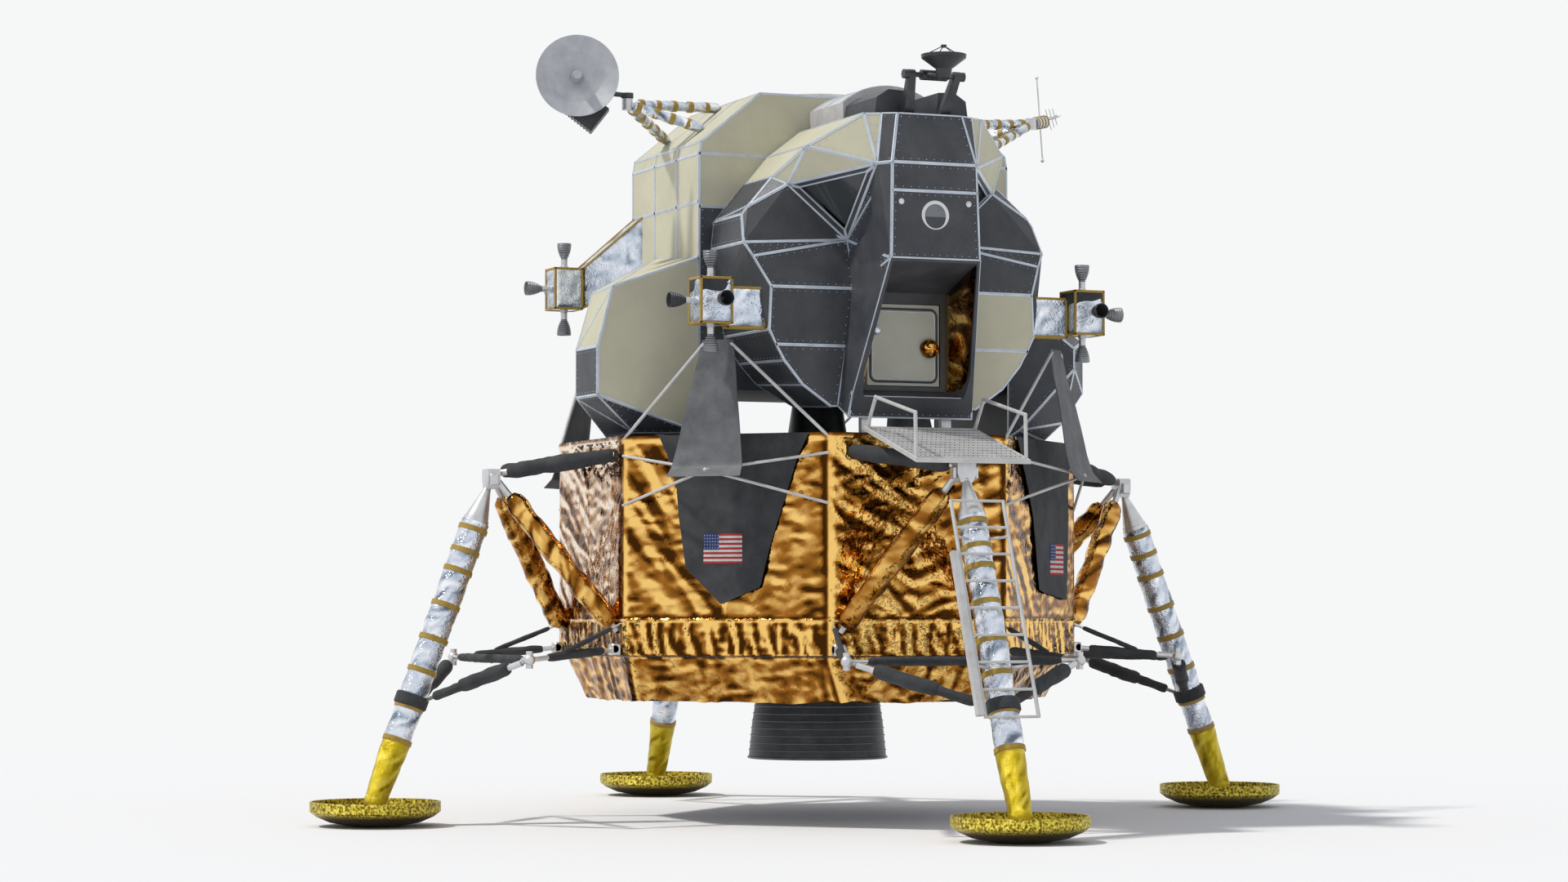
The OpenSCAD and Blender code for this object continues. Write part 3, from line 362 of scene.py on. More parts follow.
def facets(u, v, size, angle=0.0, stretch=1.0, seed=0.0):
    """A field from 0 to 1 of flat triangular facets, size across, stretched along an angle in degrees."""
    a = math.radians(angle)
    x = (u * math.cos(a) + v * math.sin(a)) / (size * stretch)
    y = (v * math.cos(a) - u * math.sin(a)) / size
    x, y = x + 0.3 * np.sin(1.9 * y + seed), y + 0.3 * np.sin(2.3 * x + 2 * seed)
    i, j = np.floor(x), np.floor(y)
    fx, fy = x - i, y - j

    def corner(a, b):
        return np.mod(np.sin((i + a) * 127.1 + (j + b) * 311.7 + seed * 74.7) * 43758.5453, 1.0)

    low, right, up, far = corner(0, 0), corner(1, 0), corner(0, 1), corner(1, 1)
    one = np.where(fx > fy, low + fx * (right - low) + fy * (far - right),
                   low + fy * (up - low) + fx * (far - up))
    two = np.where(fx + fy < 1, low + fx * (right - low) + fy * (up - low),
                   far + (1 - fx) * (up - far) + (1 - fy) * (right - far))
    return np.where(corner(0.5, 0.5) > 0.5, one, two)


def slope_shade(height, step_u, step_v, gain=0.5):
    """Painted shade and highlight of a folded grid, from 0 to 1: lighter where its facets tilt towards one
    fixed side, darker where they tilt away.
    """
    down, across = np.gradient(height)
    return np.clip(0.5 + gain * (0.8 * across / step_u - down / step_v), 0.0, 1.0)


def grid_faces(rows, cols, around=False):
    """Quads of a grid of points stored row by row."""
    r, c = np.meshgrid(np.arange(rows - 1), np.arange(cols if around else cols - 1), indexing="ij")
    n = (c + 1) % cols
    quads = np.stack([r * cols + c, r * cols + n, (r + 1) * cols + n, (r + 1) * cols + c], -1)
    return quads.reshape(-1, 4).tolist()


def sheet_faces(rows, cols):
    """Faces of a closed sheet: a grid, its back, whose points follow the front's, and the strip between."""
    count = rows * cols
    faces = grid_faces(rows, cols)
    faces += [[k + count for k in face[::-1]] for face in faces]
    edge = list(range(cols)) + [r * cols + cols - 1 for r in range(1, rows)]
    edge += [(rows - 1) * cols + c for c in range(cols - 2, -1, -1)]
    edge += [r * cols for r in range(rows - 2, 0, -1)]
    return faces + [[a, a + count, b + count, b] for a, b in zip(edge, edge[1:] + edge[:1])]


def outward(points, faces):
    """The faces, turned over together if they point towards the middle of their points."""
    points = np.asarray(points, float)
    middle = points.mean(0)
    total = 0.0
    for face in faces[:: max(1, len(faces) // 4000)]:
        p = points[face[:3]]
        total += np.dot(np.cross(p[1] - p[0], p[2] - p[0]), p.mean(0) - middle)
    return faces if total > 0 else [face[::-1] for face in faces]


# %% Bodies of revolution, tubes and blocks
def frame_of(a, b):
    """Start, length and three unit directions of the line from a to b; the last one runs along it."""
    a, b = np.asarray(a, float), np.asarray(b, float)
    length = np.linalg.norm(b - a)
    along = (b - a) / length
    side = np.cross(along, [0, 0, 1] if abs(along[2]) < 0.9 else [0, 1, 0])
    side /= np.linalg.norm(side)
    return a, length, side, np.cross(along, side), along


def tube(a, b, profile, material, around=32, step=None, wrinkle=0.0, size=0.06, stretch=1.0, angle=0.0,
         seed=0.0):
    """A closed body of revolution from a to b. Profile is (distance along, radius) pairs, or one radius.
    Film or cloth on it is wrinkled inwards and outwards by half of wrinkle."""
    a, length, e1, e2, e3 = frame_of(a, b)
    if not hasattr(profile, "__len__"):
        profile = [(0.0, profile), (length, profile)]
    places, radii = np.array(profile, float).T
    rows = places if step is None else np.unique(np.concatenate(
        [places, np.linspace(places[0], places[-1], max(2, int((places[-1] - places[0]) / step)))]))
    radius = np.interp(rows, places, radii)
    theta = np.arange(around) * 2 * math.pi / around
    t, w = np.meshgrid(rows, theta, indexing="ij")
    r = np.repeat(radius[:, None], around, 1)
    fold_shade = np.full(r.shape, 0.5)
    if wrinkle:
        mean = float(np.mean(radius))
        here = facets(w * mean, t, size, angle, stretch, seed)
        lapped = facets((w - 2 * math.pi) * mean, t, size, angle, stretch, seed)
        share = w / (2 * math.pi)
        lap = (1 - share) * here + share * lapped
        height = wrinkle * (0.7 * lap + 0.3 * (0.5 * (here + lapped)) - 0.5)
        r = r + height
        # The slope of the wrinkles is kept as painted shade and highlight, which only the film finishes read.
        fold_shade = slope_shade(height, mean * 2 * math.pi / around, float(np.mean(np.diff(rows))), 1.7)
    points = a + r[..., None] * (np.cos(w)[..., None] * e1 + np.sin(w)[..., None] * e2) + t[..., None] * e3
    points = points.reshape(-1, 3)
    faces = grid_faces(len(rows), around, True)
    n = len(points)
    ends = np.array([a + rows[0] * e3, a + rows[-1] * e3])
    last = (len(rows) - 1) * around
    faces += [[n, (k + 1) % around, k] for k in range(around)]
    faces += [[n + 1, last + k, last + (k + 1) % around] for k in range(around)]
    points = np.vstack([points, ends])
    return points, outward(points, faces), material, np.append(fold_shade.ravel(), [0.5, 0.5])


def lathe(a, b, outline, material, around=48):
    """A closed ring of revolution about the line from a to b; outline is a loop of (distance, radius)."""
    a, _, e1, e2, e3 = frame_of(a, b)
    theta = np.arange(around) * 2 * math.pi / around
    ring = np.cos(theta)[:, None] * e1 + np.sin(theta)[:, None] * e2
    loop = list(outline) + [outline[0]]
    points = np.array([a + t * e3 + r * ring for t, r in outline]).reshape(-1, 3)
    faces = grid_faces(len(loop), around, True)
    faces = [[k % len(points) for k in face] for face in faces]
    area = sum(p[0] * q[1] - q[0] * p[1] for p, q in zip(loop, loop[1:]))
    if area < 0:
        faces = [face[::-1] for face in faces]
    return points, faces, material, np.full(len(points), 0.5)


def hull(points, material):
    """The convex body around some points."""
    bm = bmesh.new()
    for p in np.asarray(points, float):
        bm.verts.new(p)
    made = bmesh.ops.convex_hull(bm, input=bm.verts)
    loose = [g for g in set(made["geom_interior"] + made["geom_unused"]) if isinstance(g, bmesh.types.BMVert)]
    bmesh.ops.delete(bm, geom=loose, context="VERTS")
    bmesh.ops.dissolve_limit(bm, angle_limit=0.002, verts=bm.verts, edges=bm.edges)
    bmesh.ops.recalc_face_normals(bm, faces=bm.faces)
    bm.verts.index_update()
    out = np.array([v.co[:] for v in bm.verts]), [[v.index for v in f.verts] for f in bm.faces]
    bm.free()
    return out[0], out[1], material, np.full(len(out[0]), 0.5)


def block(low, high, material, chamfer=0.004):
    """A box with its edges cut back."""
    low, high = np.minimum(low, high), np.maximum(low, high)
    c = min(chamfer, 0.3 * float(np.min(high - low)))
    points = [[(low, high)[k >> d & 1][d] + (0 if d == keep else (c, -c)[k >> d & 1]) for d in range(3)]
              for k in range(8) for keep in range(3)]
    return hull(points, material)


# %% Putting a piece together
made_pieces = []


def folded_mesh(name, points, faces, materials, slots, folds, sharp):
    """A mesh that keeps each point's painted shade from its folds, smooth up to the sharp angle in degrees,
    or flat for None.
    """
    mesh = bpy.data.meshes.new(name)
    mesh.from_pydata(points.tolist(), [], faces)
    for material in materials:
        mesh.materials.append(material)
    mesh.polygons.foreach_set("material_index", slots)
    # The stored value is painted shade and highlight, which the film finishes turn into dark and bright
    # colour.
    attribute = mesh.attributes.new("fold_shade", "FLOAT", "POINT")
    attribute.data.foreach_set("value", folds.astype(np.float32))
    if sharp is not None:
        mesh.shade_smooth()
        mesh.set_sharp_from_angle(angle=math.radians(sharp))
    mesh.update()
    return mesh


def piece(name, parts, body="lander", stands_for=(), flat=False):
    """One object from parts, each (points, faces, material, painted shade), riding on a body of the model."""
    points, faces, slots, materials, folds = [], [], [], [], []
    start = 0
    for part_points, part_faces, material, fold_shade in parts:
        if material not in materials:
            materials.append(material)
        points.append(part_points)
        faces += [[k + start for k in face] for face in part_faces]
        slots += [materials.index(material)] * len(part_faces)
        folds.append(fold_shade)
        start += len(part_points)
    mesh = folded_mesh(name, np.vstack(points), faces, materials, slots, np.concatenate(folds),
                       None if flat else 32)
    return place_piece(name, mesh, body, stands_for)


def place_piece(name, mesh, body="lander", stands_for=()):
    """Puts a finished mesh in the scene at the origin, on the body it rides on, and hides the pieces it
    stands for.
    """
    made = bpy.data.objects.new(name, mesh)
    bpy.context.collection.objects.link(made)
    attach(made, body)
    if stands_for:
        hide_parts(*stands_for)
    made_pieces.append((name, sum(len(p.vertices) - 2 for p in mesh.polygons)))
    return made


# %% [markdown]
# ## The descent stage's film
# The base is an eight-sided box. Crumpled gold film covers the front, the back and the four corner walls, and
# paler copper film the starboard and port walls. One grid runs round all eight walls, so the film turns each
# corner without a seam. Its rows follow the wall, then the pleated band near the bottom, and then the skirt
# that tapers over the heat shield.

# %% Walls of the base
DECK_Z, BOX_Z, SHIELD_Z = 3.375, 1.467, 1.076
STAGE_HALF, CORNER_S = 2.189, 0.829
DIAG_R = (STAGE_HALF + CORNER_S) / math.sqrt(2)
DIAG_S = (STAGE_HALF - CORNER_S) / math.sqrt(2)
BAND_Z = 1.786


def octagon(half, corner):
    """The eight corners of an octagon, starting at the left of the front wall and going round to port."""
    corners = []
    for turn in (0, 90, 180, 270):
        corners += turned([[-corner, -half, 0], [corner, -half, 0]], turn).tolist()
    return np.array(corners)


def skin_columns(step):
    """Where each column of the skin lies: its wall, its share of the wall and its distance round."""
    box = octagon(STAGE_HALF, CORNER_S)
    walls, shares, rounds, total = [], [], [], 0.0
    for wall in range(8):
        length = np.linalg.norm(box[(wall + 1) % 8] - box[wall])
        count = int(length / step)
        walls += [wall] * count
        shares += (np.arange(count) / count).tolist()
        rounds += (total + length * np.arange(count) / count).tolist()
        total += length
    return np.array(walls), np.array(shares), np.array(rounds)


SKIN_STEP, BAND_STEP = 0.0205, 0.018


def base_skin():
    """Points, painted shade and wall numbers of the film round the base."""
    walls, shares, rounds = skin_columns(SKIN_STEP)
    rows = [(z, 1.0, 0.0) for z in np.arange(DECK_Z + 0.004, BAND_Z + 0.01, -SKIN_STEP)]
    rows += [(z, 1.0, 1.0) for z in np.arange(BAND_Z, BOX_Z + 0.01, -BAND_STEP)]
    lower = np.arange(0.0, 1.0001, 0.05)
    rows += [(BOX_Z - 0.012 - s * (BOX_Z - SHIELD_Z - 0.012), 1.0 - s, 2.0) for s in lower]
    z, taper, zone = np.array(rows).T
    wide, narrow = octagon(STAGE_HALF, CORNER_S), octagon(1.99, (1.658 - 0.4) / 2)
    shield_top = octagon(STAGE_HALF - 0.06, (1.658 - 0.04) / 2)
    n = (walls + 1) % 8

    def ring(corners):
        return corners[walls] + shares[:, None] * (corners[n] - corners[walls])

    wide_ring, top_ring, narrow_ring = ring(wide), ring(shield_top), ring(narrow)
    base = np.empty((len(z), len(walls), 3))
    for k in range(len(z)):
        base[k] = wide_ring if zone[k] < 2 else top_ring * taper[k] + narrow_ring * (1 - taper[k])
        base[k, :, 2] = z[k]
    u, v = np.broadcast_to(rounds, base.shape[:2]), np.broadcast_to(z[:, None], base.shape[:2])
    leg_side = walls % 2 == 0
    spread = np.where(leg_side, 0.0, 1.0)[None, :]
    middle = shares[None, :] - 0.5
    fan = facets(u, v, 0.11, -52, 4.6, 3.0) * (middle < 0) + facets(u, v, 0.11, 52, 4.6, 4.0) * (middle >= 0)
    chevron = facets(u, v, 0.075, -34, 4.5, 5.0) * (middle < 0)
    chevron = chevron + facets(u, v, 0.075, 34, 4.5, 6.0) * (middle >= 0)
    big = spread * fan + (1 - spread) * chevron
    small = facets(u, v, 0.045, 18, 2.6, 9.0)
    pleats = facets(u, v, 0.05, 90, 3.2, 12.0)
    hem = facets(u, v, 0.11, 64, 3.0, 14.0)
    band, skirt = (zone == 1)[:, None], (zone == 2)[:, None]
    height = 0.60 * big + 0.40 * small
    height = np.where(band, 0.7 * pleats + 0.3 * small, height)
    height = np.where(skirt, 0.7 * hem + 0.3 * small, height)
    depth = np.where(band, 0.034, np.where(skirt, 0.030, np.where(spread > 0, 0.024, 0.028)))
    seam = np.exp(-((v - BAND_Z) / 0.012) ** 2) + np.exp(-((v - DECK_Z + 0.03) / 0.02) ** 2)
    edge = np.exp(-(np.minimum(shares, 1 - shares)[None, :] * 1.8 / 0.03) ** 2)
    lift = 0.003 + depth * height * (1 - 0.8 * edge) + 0.010 * seam
    wall_turns = [math.radians(45 * k) for k in range(8)]
    box_normals = np.array([[math.sin(a), -math.cos(a), 0.0] for a in wall_turns])
    points = base + lift[..., None] * box_normals[walls][None]
    points[-1, :, 2] += 0.035 * (facets(rounds, rounds * 0, 0.12, 0, 1.0, 21.0) - 0.5)
    # Painted shade and highlight from the slope of the film, painted lighter along the raised seams and
    # darker near the wall corners.
    tone = slope_shade(lift, SKIN_STEP, SKIN_STEP, 4.2)
    tone = np.clip(tone + 0.35 * seam - 0.12 * edge, 0, 1)
    tuck = base[[0, -1]] - 0.03 * box_normals[walls][None]
    tuck[0, :, 2] = DECK_Z - 0.004
    points = np.concatenate([tuck[:1], points, tuck[1:]])
    tone = np.concatenate([tone[:1], tone, tone[-1:]])
    return points, tone, walls


skin_points, skin_shade, skin_walls = base_skin()
rows, cols = skin_points.shape[:2]
skin_faces = np.array(grid_faces(rows, cols, True))
flat_points = skin_points.reshape(-1, 3)
skin_parts = []
for copper_wall, finish in ((True, COPPER), (False, GOLD)):
    column = skin_faces[:, 0] % cols
    chosen = skin_faces[(skin_walls[column] % 4 == 2) == copper_wall]
    row_z = flat_points[chosen[:, 0]][:, 2]
    for high, use in ((True, finish), (False, GOLD)):
        picked = chosen[(row_z > BAND_Z - 0.001) == high]
        skin_parts.append((flat_points, outward(flat_points, picked.tolist()), use, skin_shade.ravel()))


def shared_piece(name, parts):
    """As piece, for parts that use the same points, with finer creases."""
    points, _, _, fold_shade = parts[0]
    faces = sum((faces for _, faces, _, _ in parts), [])
    order = []
    for _, part_faces, material, _ in parts:
        order += [material] * len(part_faces)
    materials = list(dict.fromkeys(order))
    slots = [materials.index(material) for material in order]
    return place_piece(name, folded_mesh(name, points, faces, materials, slots, fold_shade, 14))


shared_piece("base_film", skin_parts)
print("film round the base:", rows, "rows of", cols)

# %% [markdown]
# ## Legs, trusses and braces
# A leg is a tube in crumpled silver film, held by turns of ochre tape, with a bare cone on top and yellow
# film near the pad. The braces are tubes in black cloth or gold film, which wrinkle. Each is a body
# of revolution whose radius follows a facet field, so the same short rule makes every one of them.

# %% Points on a leg
HIP, FOOT = np.array([0, -3.149, 2.945]), np.array([0, -4.159, 0.215])
LEG_ALONG = (FOOT - HIP) / np.linalg.norm(FOOT - HIP)
LEG_LENGTH = float(np.linalg.norm(FOOT - HIP))
LEG_R = 0.125
TAPE_HEIGHTS = (2.581, 2.384, 2.198, 1.913, 1.618, 1.325, 1.033, 0.742)


def at_leg(z):
    """Distance down the leg's axis at height z."""
    return (HIP[2] - z) / -LEG_ALONG[2]


def leg_at(s, r, z):
    return np.array([s, -r, z], float)


def between(a, b, share):
    return np.asarray(a) + (np.asarray(b) - np.asarray(a)) * share


def ball(centre, radius, material, around=24):
    """A closed ball."""
    arc = [(radius - radius * math.cos(k * math.pi / 10), max(0.0005, radius * math.sin(k * math.pi / 10)))
           for k in range(11)]
    centre = np.asarray(centre, float)
    return tube(centre - [0, 0, radius], centre + [0, 0, radius], arc, material, around)


def turn_parts(parts, turn):
    return [(turned(points, turn), faces, material, fold_shade) for points, faces, material, fold_shade in parts]


# %% Wrapped legs
def wrapped_leg(seed):
    """The parts of one leg, on the front leg's place."""
    film_top, film_low = 0.328, at_leg(0.742)

    def down(t):
        return HIP + LEG_ALONG * t

    cone = [(0, 0.030), (0.05, 0.040), (0.268, 0.100), (0.29, 0.103), (0.292, 0.112), (0.348, 0.118)]
    parts = [tube(down(0.0), down(film_top + 0.02), cone, ALLOY, 40),
             tube(down(film_top), down(film_low), LEG_R - 0.004, SILVER, 56, 0.016, 0.022, 0.075,
                  1.7, 30, seed),
             tube(down(film_low), down(LEG_LENGTH), [(0, LEG_R), (LEG_LENGTH - film_low, 0.095)], YELLOW,
                  48, 0.016, 0.016, 0.06, 1.4, 80, seed + 3),
             ball(HIP, 0.034, ALLOY), ball(FOOT, 0.1, YELLOW)]
    for k, z in enumerate(TAPE_HEIGHTS):
        t = at_leg(z)
        tilt = 0.012 * math.sin(2.1 * k + seed)
        parts.append(tube(down(t - 0.024 + tilt), down(t + 0.024 + tilt), [(0, LEG_R), (0.004, LEG_R + 0.006),
                     (0.044, LEG_R + 0.006), (0.048, LEG_R)], TAPE, 56, 0.008, 0.007, 0.05, 1.5, 0, seed + k))
    return parts


for number, (side, turn) in enumerate(TURNS.items()):
    piece(f"wrapped_leg_{side}", turn_parts(wrapped_leg(number * 7.0), turn),
          stands_for=[f"leg_{side}"])
print("legs wrapped:", len(TURNS), "with", len(TAPE_HEIGHTS), "tapes each")


# %% Braces and outriggers
def sleeve(a, b, thin, thick, start, end, material, wrinkle, size, seed, rod=None, stop=1.0, stretch=1.6):
    """A thin rod from a to b with a wrapped sleeve on part of it. The rod stops at a share of its length."""
    length = float(np.linalg.norm(np.asarray(b) - np.asarray(a)))
    c, d = between(a, b, start), between(a, b, end)
    run = length * (end - start)
    profile = [(0, thick * 0.55), (0.03 * run, thick * 0.9), (0.08 * run, thick), (0.92 * run, thick),
               (0.97 * run, thick * 0.9), (run, thick * 0.55)]
    return [tube(a, between(a, b, stop), thin, rod or ALLOY, 14),
            tube(c, d, profile, material, 30, 0.022, wrinkle, size, stretch, 35, seed)]


def outrigger(seed):
    bracket = (0.055, 2.93), (0.085, 3.0), (0.085, 3.09), (0.07, 3.105)
    parts = [hull([[x * w, -r, z] for x in (-1, 1) for w, z in bracket for r in (3.06, 3.175)], ALLOY)]
    for side in (-1, 1):
        upper, upper_end = leg_at(0, 3.079, 3.067), leg_at(side * 0.663, 2.149, 3.230)
        support, support_end = leg_at(side * 0.05, 3.069, 2.995), leg_at(side * 0.746, 2.169, 1.642)
        parts += sleeve(upper, upper_end, 0.029, 0.066, 0.10, 0.95, CLOTH, 0.030, 0.11, seed + side,
                        None, 0.956, 1.3)
        parts += sleeve(support, support_end, 0.029, 0.095, 0.10, 0.93, GOLD, 0.040, 0.10,
                        seed + 5 + side, None, 0.97, 2.2)
        parts.append(block([side * 0.085, -3.16, 2.96], [side * 0.115, -3.08, 3.06], ALLOY, 0.008))
    return parts


def truss(seed):
    cross = 1.072
    parts = sleeve(leg_at(-cross, 3.121, 1.443), leg_at(cross, 3.121, 1.443), 0.019, 0.038, 0.084, 0.916,
                   CLOTH, 0.012, 0.06, seed)
    for side in (-1, 1):
        joint, corner = leg_at(side * cross, 3.121, 1.443), leg_at(side * 0.759, 2.229, 1.529)
        lock_end = leg_at(side * 0.789, 2.195, 1.746)
        parts.append(ball(joint, 0.05, ALLOY))
        parts.append(tube(joint - [0, 0, 0.074], joint + [0, 0, 0.074], 0.03, ALLOY, 20))
        parts += sleeve(joint, corner, 0.022, 0.038, 0.2, 0.86, CLOTH, 0.012, 0.06, seed + side)
        parts += sleeve(between(joint, corner, 0.3), lock_end, 0.012, 0.022, 0.12, 0.86, CLOTH, 0.008, 0.05,
                        seed + 2 + side)
        parts.append(block([side * 0.704, -2.279, 1.477], [side * 0.814, -2.192, 1.577], ALLOY, 0.012))
        parts.append(tube([side * 0.704, -2.25, 1.53], [side * 0.814, -2.25, 1.53], 0.032, ALLOY, 20))
    return parts


def struts(seed):
    collar = leg_at(0, 3.839, 1.08)
    parts = [tube(collar - 0.055 * LEG_ALONG, collar + 0.055 * LEG_ALONG,
                  [(0, 0.135), (0.012, 0.147), (0.098, 0.147), (0.11, 0.135)], CLOTH, 40)]
    for side in (-1, 1):
        lug, joint = collar + [side * 0.07, 0.09, 0], leg_at(side * 1.072, 3.121, 1.443)
        parts += sleeve(lug, joint, 0.017, 0.042, 0.1, 0.5, CLOTH, 0.012, 0.06, seed + side)
        parts += sleeve(lug, joint, 0.017, 0.062, 0.36, 0.81, CLOTH, 0.018, 0.08, seed + 3 + side)
        parts.append(tube(between(lug, joint, 0.80), between(lug, joint, 0.93), 0.028, ALLOY, 20))
    return parts


for number, (side, turn) in enumerate(TURNS.items()):
    piece(f"outrigger_cover_{side}", turn_parts(outrigger(number * 3.0), turn),
          stands_for=[f"outrigger_{side}"])
    piece(f"truss_cover_{side}", turn_parts(truss(number * 5.0), turn),
          stands_for=[f"leg_truss_{side}"])
    piece(f"strut_cover_{side}", turn_parts(struts(number * 4.0), turn),
          stands_for=[f"side_struts_{side}"])
print("braces made for", len(TURNS), "legs")

# %% [markdown]
# ## Thruster quads, booms and deflectors
# Each quad is a box in silver film with taped edges, carrying four small nozzles with turned ribs. The
# booms are silver film with tape, as the legs are. A flat film panel is a grid whose front is pushed out by
# facets and whose back is flat, so it is closed and can face any way.


# %% Film panels and taped boxes
def film_panel(corners, material, depth=0.012, size=0.08, seed=0.0, step=0.02, back=0.006, stretch=1.4):
    """A closed film panel on four corners, which run anticlockwise as seen from its front."""
    p = np.asarray(corners, float)
    normal = np.cross(p[2] - p[0], p[3] - p[1])
    normal /= np.linalg.norm(normal)
    width, tall = np.linalg.norm(p[1] - p[0]), np.linalg.norm(p[3] - p[0])
    n, m = max(4, int(width / step)), max(4, int(tall / step))
    x, y = np.meshgrid(np.linspace(0, 1, n), np.linspace(0, 1, m))
    shares = (1 - x) * (1 - y), x * (1 - y), x * y, (1 - x) * y
    flat = sum(share[..., None] * corner for share, corner in zip(shares, p))
    rim = np.clip(np.minimum(np.minimum(x, 1 - x) * width, np.minimum(y, 1 - y) * tall) / 0.03, 0, 1)
    height = depth * rim * facets(x * width, y * tall, size, 35, stretch, seed)
    front = (flat + height[..., None] * normal).reshape(-1, 3)
    rear = (flat - back * normal).reshape(-1, 3)
    points = np.vstack([front, rear])
    # Painted shade and highlight from the slope of the panel's facets, kept for the film finishes.
    tone = slope_shade(height, width / n, tall / m, 1.6).ravel()
    return points, outward(points, sheet_faces(m, n)), material, np.concatenate([tone, tone])


def quad_faces(low, high):
    """The six faces of a box, each as four corners that run anticlockwise from outside."""
    (a, b, c), (d, e, f) = low, high
    return [[(d, b, c), (d, e, c), (d, e, f), (d, b, f)], [(a, e, c), (a, b, c), (a, b, f), (a, e, f)],
            [(a, b, c), (d, b, c), (d, b, f), (a, b, f)], [(d, e, c), (a, e, c), (a, e, f), (d, e, f)],
            [(a, b, f), (d, b, f), (d, e, f), (a, e, f)], [(a, e, c), (d, e, c), (d, b, c), (a, b, c)]]


def film_box(low, high, material, seed, tape=TAPE, depth=0.010, size=0.07):
    """A box in film, with tape along its twelve edges."""
    low, high = np.minimum(low, high), np.maximum(low, high)
    inner_low, inner_high = low + depth, high - depth
    parts = [film_panel(face, material, depth, size, seed + k, 0.018) for k, face in
             enumerate(quad_faces(inner_low, inner_high))]
    if tape:
        for axis in range(3):
            others = [d for d in range(3) if d != axis]
            for k in range(4):
                a, b = low.copy(), high.copy()
                for bit, d in enumerate(others):
                    edge = (low, high)[k >> bit & 1][d]
                    a[d], b[d] = sorted((edge, edge + (0.022 if not k >> bit & 1 else -0.022)))
                parts.append(block(a, b, tape, 0.005))
    return parts


# %% Thrusters
def thruster(at, direction, dark=False):
    """A small nozzle with turned ribs, standing on at."""
    at, direction = np.asarray(at, float), np.asarray(direction, float)
    finish = SOOT if dark else NOZZLE
    outline = [(0.078, 0.0), (0.078, 0.026)]
    ribs = 7
    for k in range(ribs):
        t = 0.085 + 0.020 * k
        r = 0.028 + 0.034 * math.sin(math.pi / 2 * k / (ribs - 1)) ** 0.9
        outline += [(t, r), (t + 0.004, r + 0.004), (t + 0.012, r + 0.004), (t + 0.016, r + 0.001)]
    outline += [(0.23, 0.066), (0.23, 0.059), (0.15, 0.045), (0.115, 0.017), (0.115, 0.0)]
    stem = [(0, 0.036), (0.03, 0.036), (0.034, 0.030), (0.092, 0.030)]
    return [tube(at - direction * 0.01, at + direction * 0.082, stem, ALLOY, 20),
            lathe(at, at + direction, outline, finish, 28)]


def quad(centre, half, tall, aft, side, seed):
    """One quad: a film box, a cloth cap and four nozzles."""
    centre = np.array(centre, float)
    reach = np.array([half, half, tall / 2])
    parts = film_box(centre - reach, centre + reach, SILVER, seed)
    if aft < 0:
        cap_low, cap_high = centre - reach, centre + reach
        cap_low[2] = centre[2] + 0.06
        cap_low[:2] -= 0.004
        cap_high[:2] += 0.004
        parts += film_box(cap_low, cap_high + [0, 0, 0.003], CLOTH, seed + 9, None, 0.012, 0.09)
    parts += thruster(centre + [0, 0, tall / 2], (0, 0, 1)) + thruster(centre - [0, 0, tall / 2], (0, 0, -1))
    parts += thruster(centre + [side * half, 0, 0], (side, 0, 0), aft < 0 and side < 0)
    parts += thruster(centre + [0, aft * half, 0], (0, aft, 0), aft < 0)
    return parts


for side, name in ((-1, "starboard"), (1, "port")):
    front = quad((side * 1.768, -1.836, 4.49), 0.15, 0.40, -1, side, 31.0 + side)
    front += film_box([side * 1.26, -1.846, 4.265], [side * 1.62, -1.716, 4.625], SILVER, 41.0 + side)
    piece(f"quad_front_{name}", front, stands_for=[f"rcs_quad_front_{name}"])
    back = quad((side * 2.0, 1.28, 4.83), 0.14, 0.39, 1, side, 51.0 + side)
    a = [(side * 1.503, y, z) for y, z in ((0.54, 4.825), (0.54, 5.445), (0.76, 5.445), (0.76, 4.825))]
    b = [(side * 1.864, y, z) for y, z in ((1.19, 4.655), (1.19, 5.005), (1.37, 5.005), (1.37, 4.655))]
    for k in range(4):
        n = (k + 1) % 4
        corners = [a[k], a[n], b[n], b[k]]
        middle = np.mean(a + b, 0)
        p = np.array(corners)
        if np.dot(np.cross(p[2] - p[0], p[3] - p[1]), p.mean(0) - middle) < 0:
            corners = corners[::-1]
        back.append(film_panel(corners, SILVER, 0.012, 0.09, 60.0 + k + side))
        back.append(tube(a[k], b[k], 0.012, TAPE, 10))
    piece(f"quad_back_{name}", back, stands_for=[f"rcs_quad_back_{name}"])
print("quads made: 4, with 16 nozzles")


# %% Booms
def boom(feet, tip, radius, seed, cap):
    parts = [tube(tip - np.array([0, 0, 0.05]), tip + np.array([0, 0, 0.049]), radius * cap, ALLOY, 28)]
    for k, foot in enumerate(feet):
        foot = np.array(foot)
        parts += sleeve(foot, tip, 0.020, radius, 0.02, 0.92, SILVER, 0.018, 0.06, seed + k, None, 1.0, 1.4)
        length = float(np.linalg.norm(tip - foot))
        count = max(2, int(length / 0.17))
        for n in range(count):
            share = (n + 0.6) / count * 0.86 + 0.04
            a, b = between(foot, tip, share), between(foot, tip, share + 0.05 / length)
            lapped = [(0, radius), (0.004, radius + 0.005), (0.046, radius + 0.005), (0.05, radius)]
            parts.append(tube(a, b, lapped, TAPE, 24, 0.01, 0.008, 0.04, 1.2, 0, seed + n))
    return parts


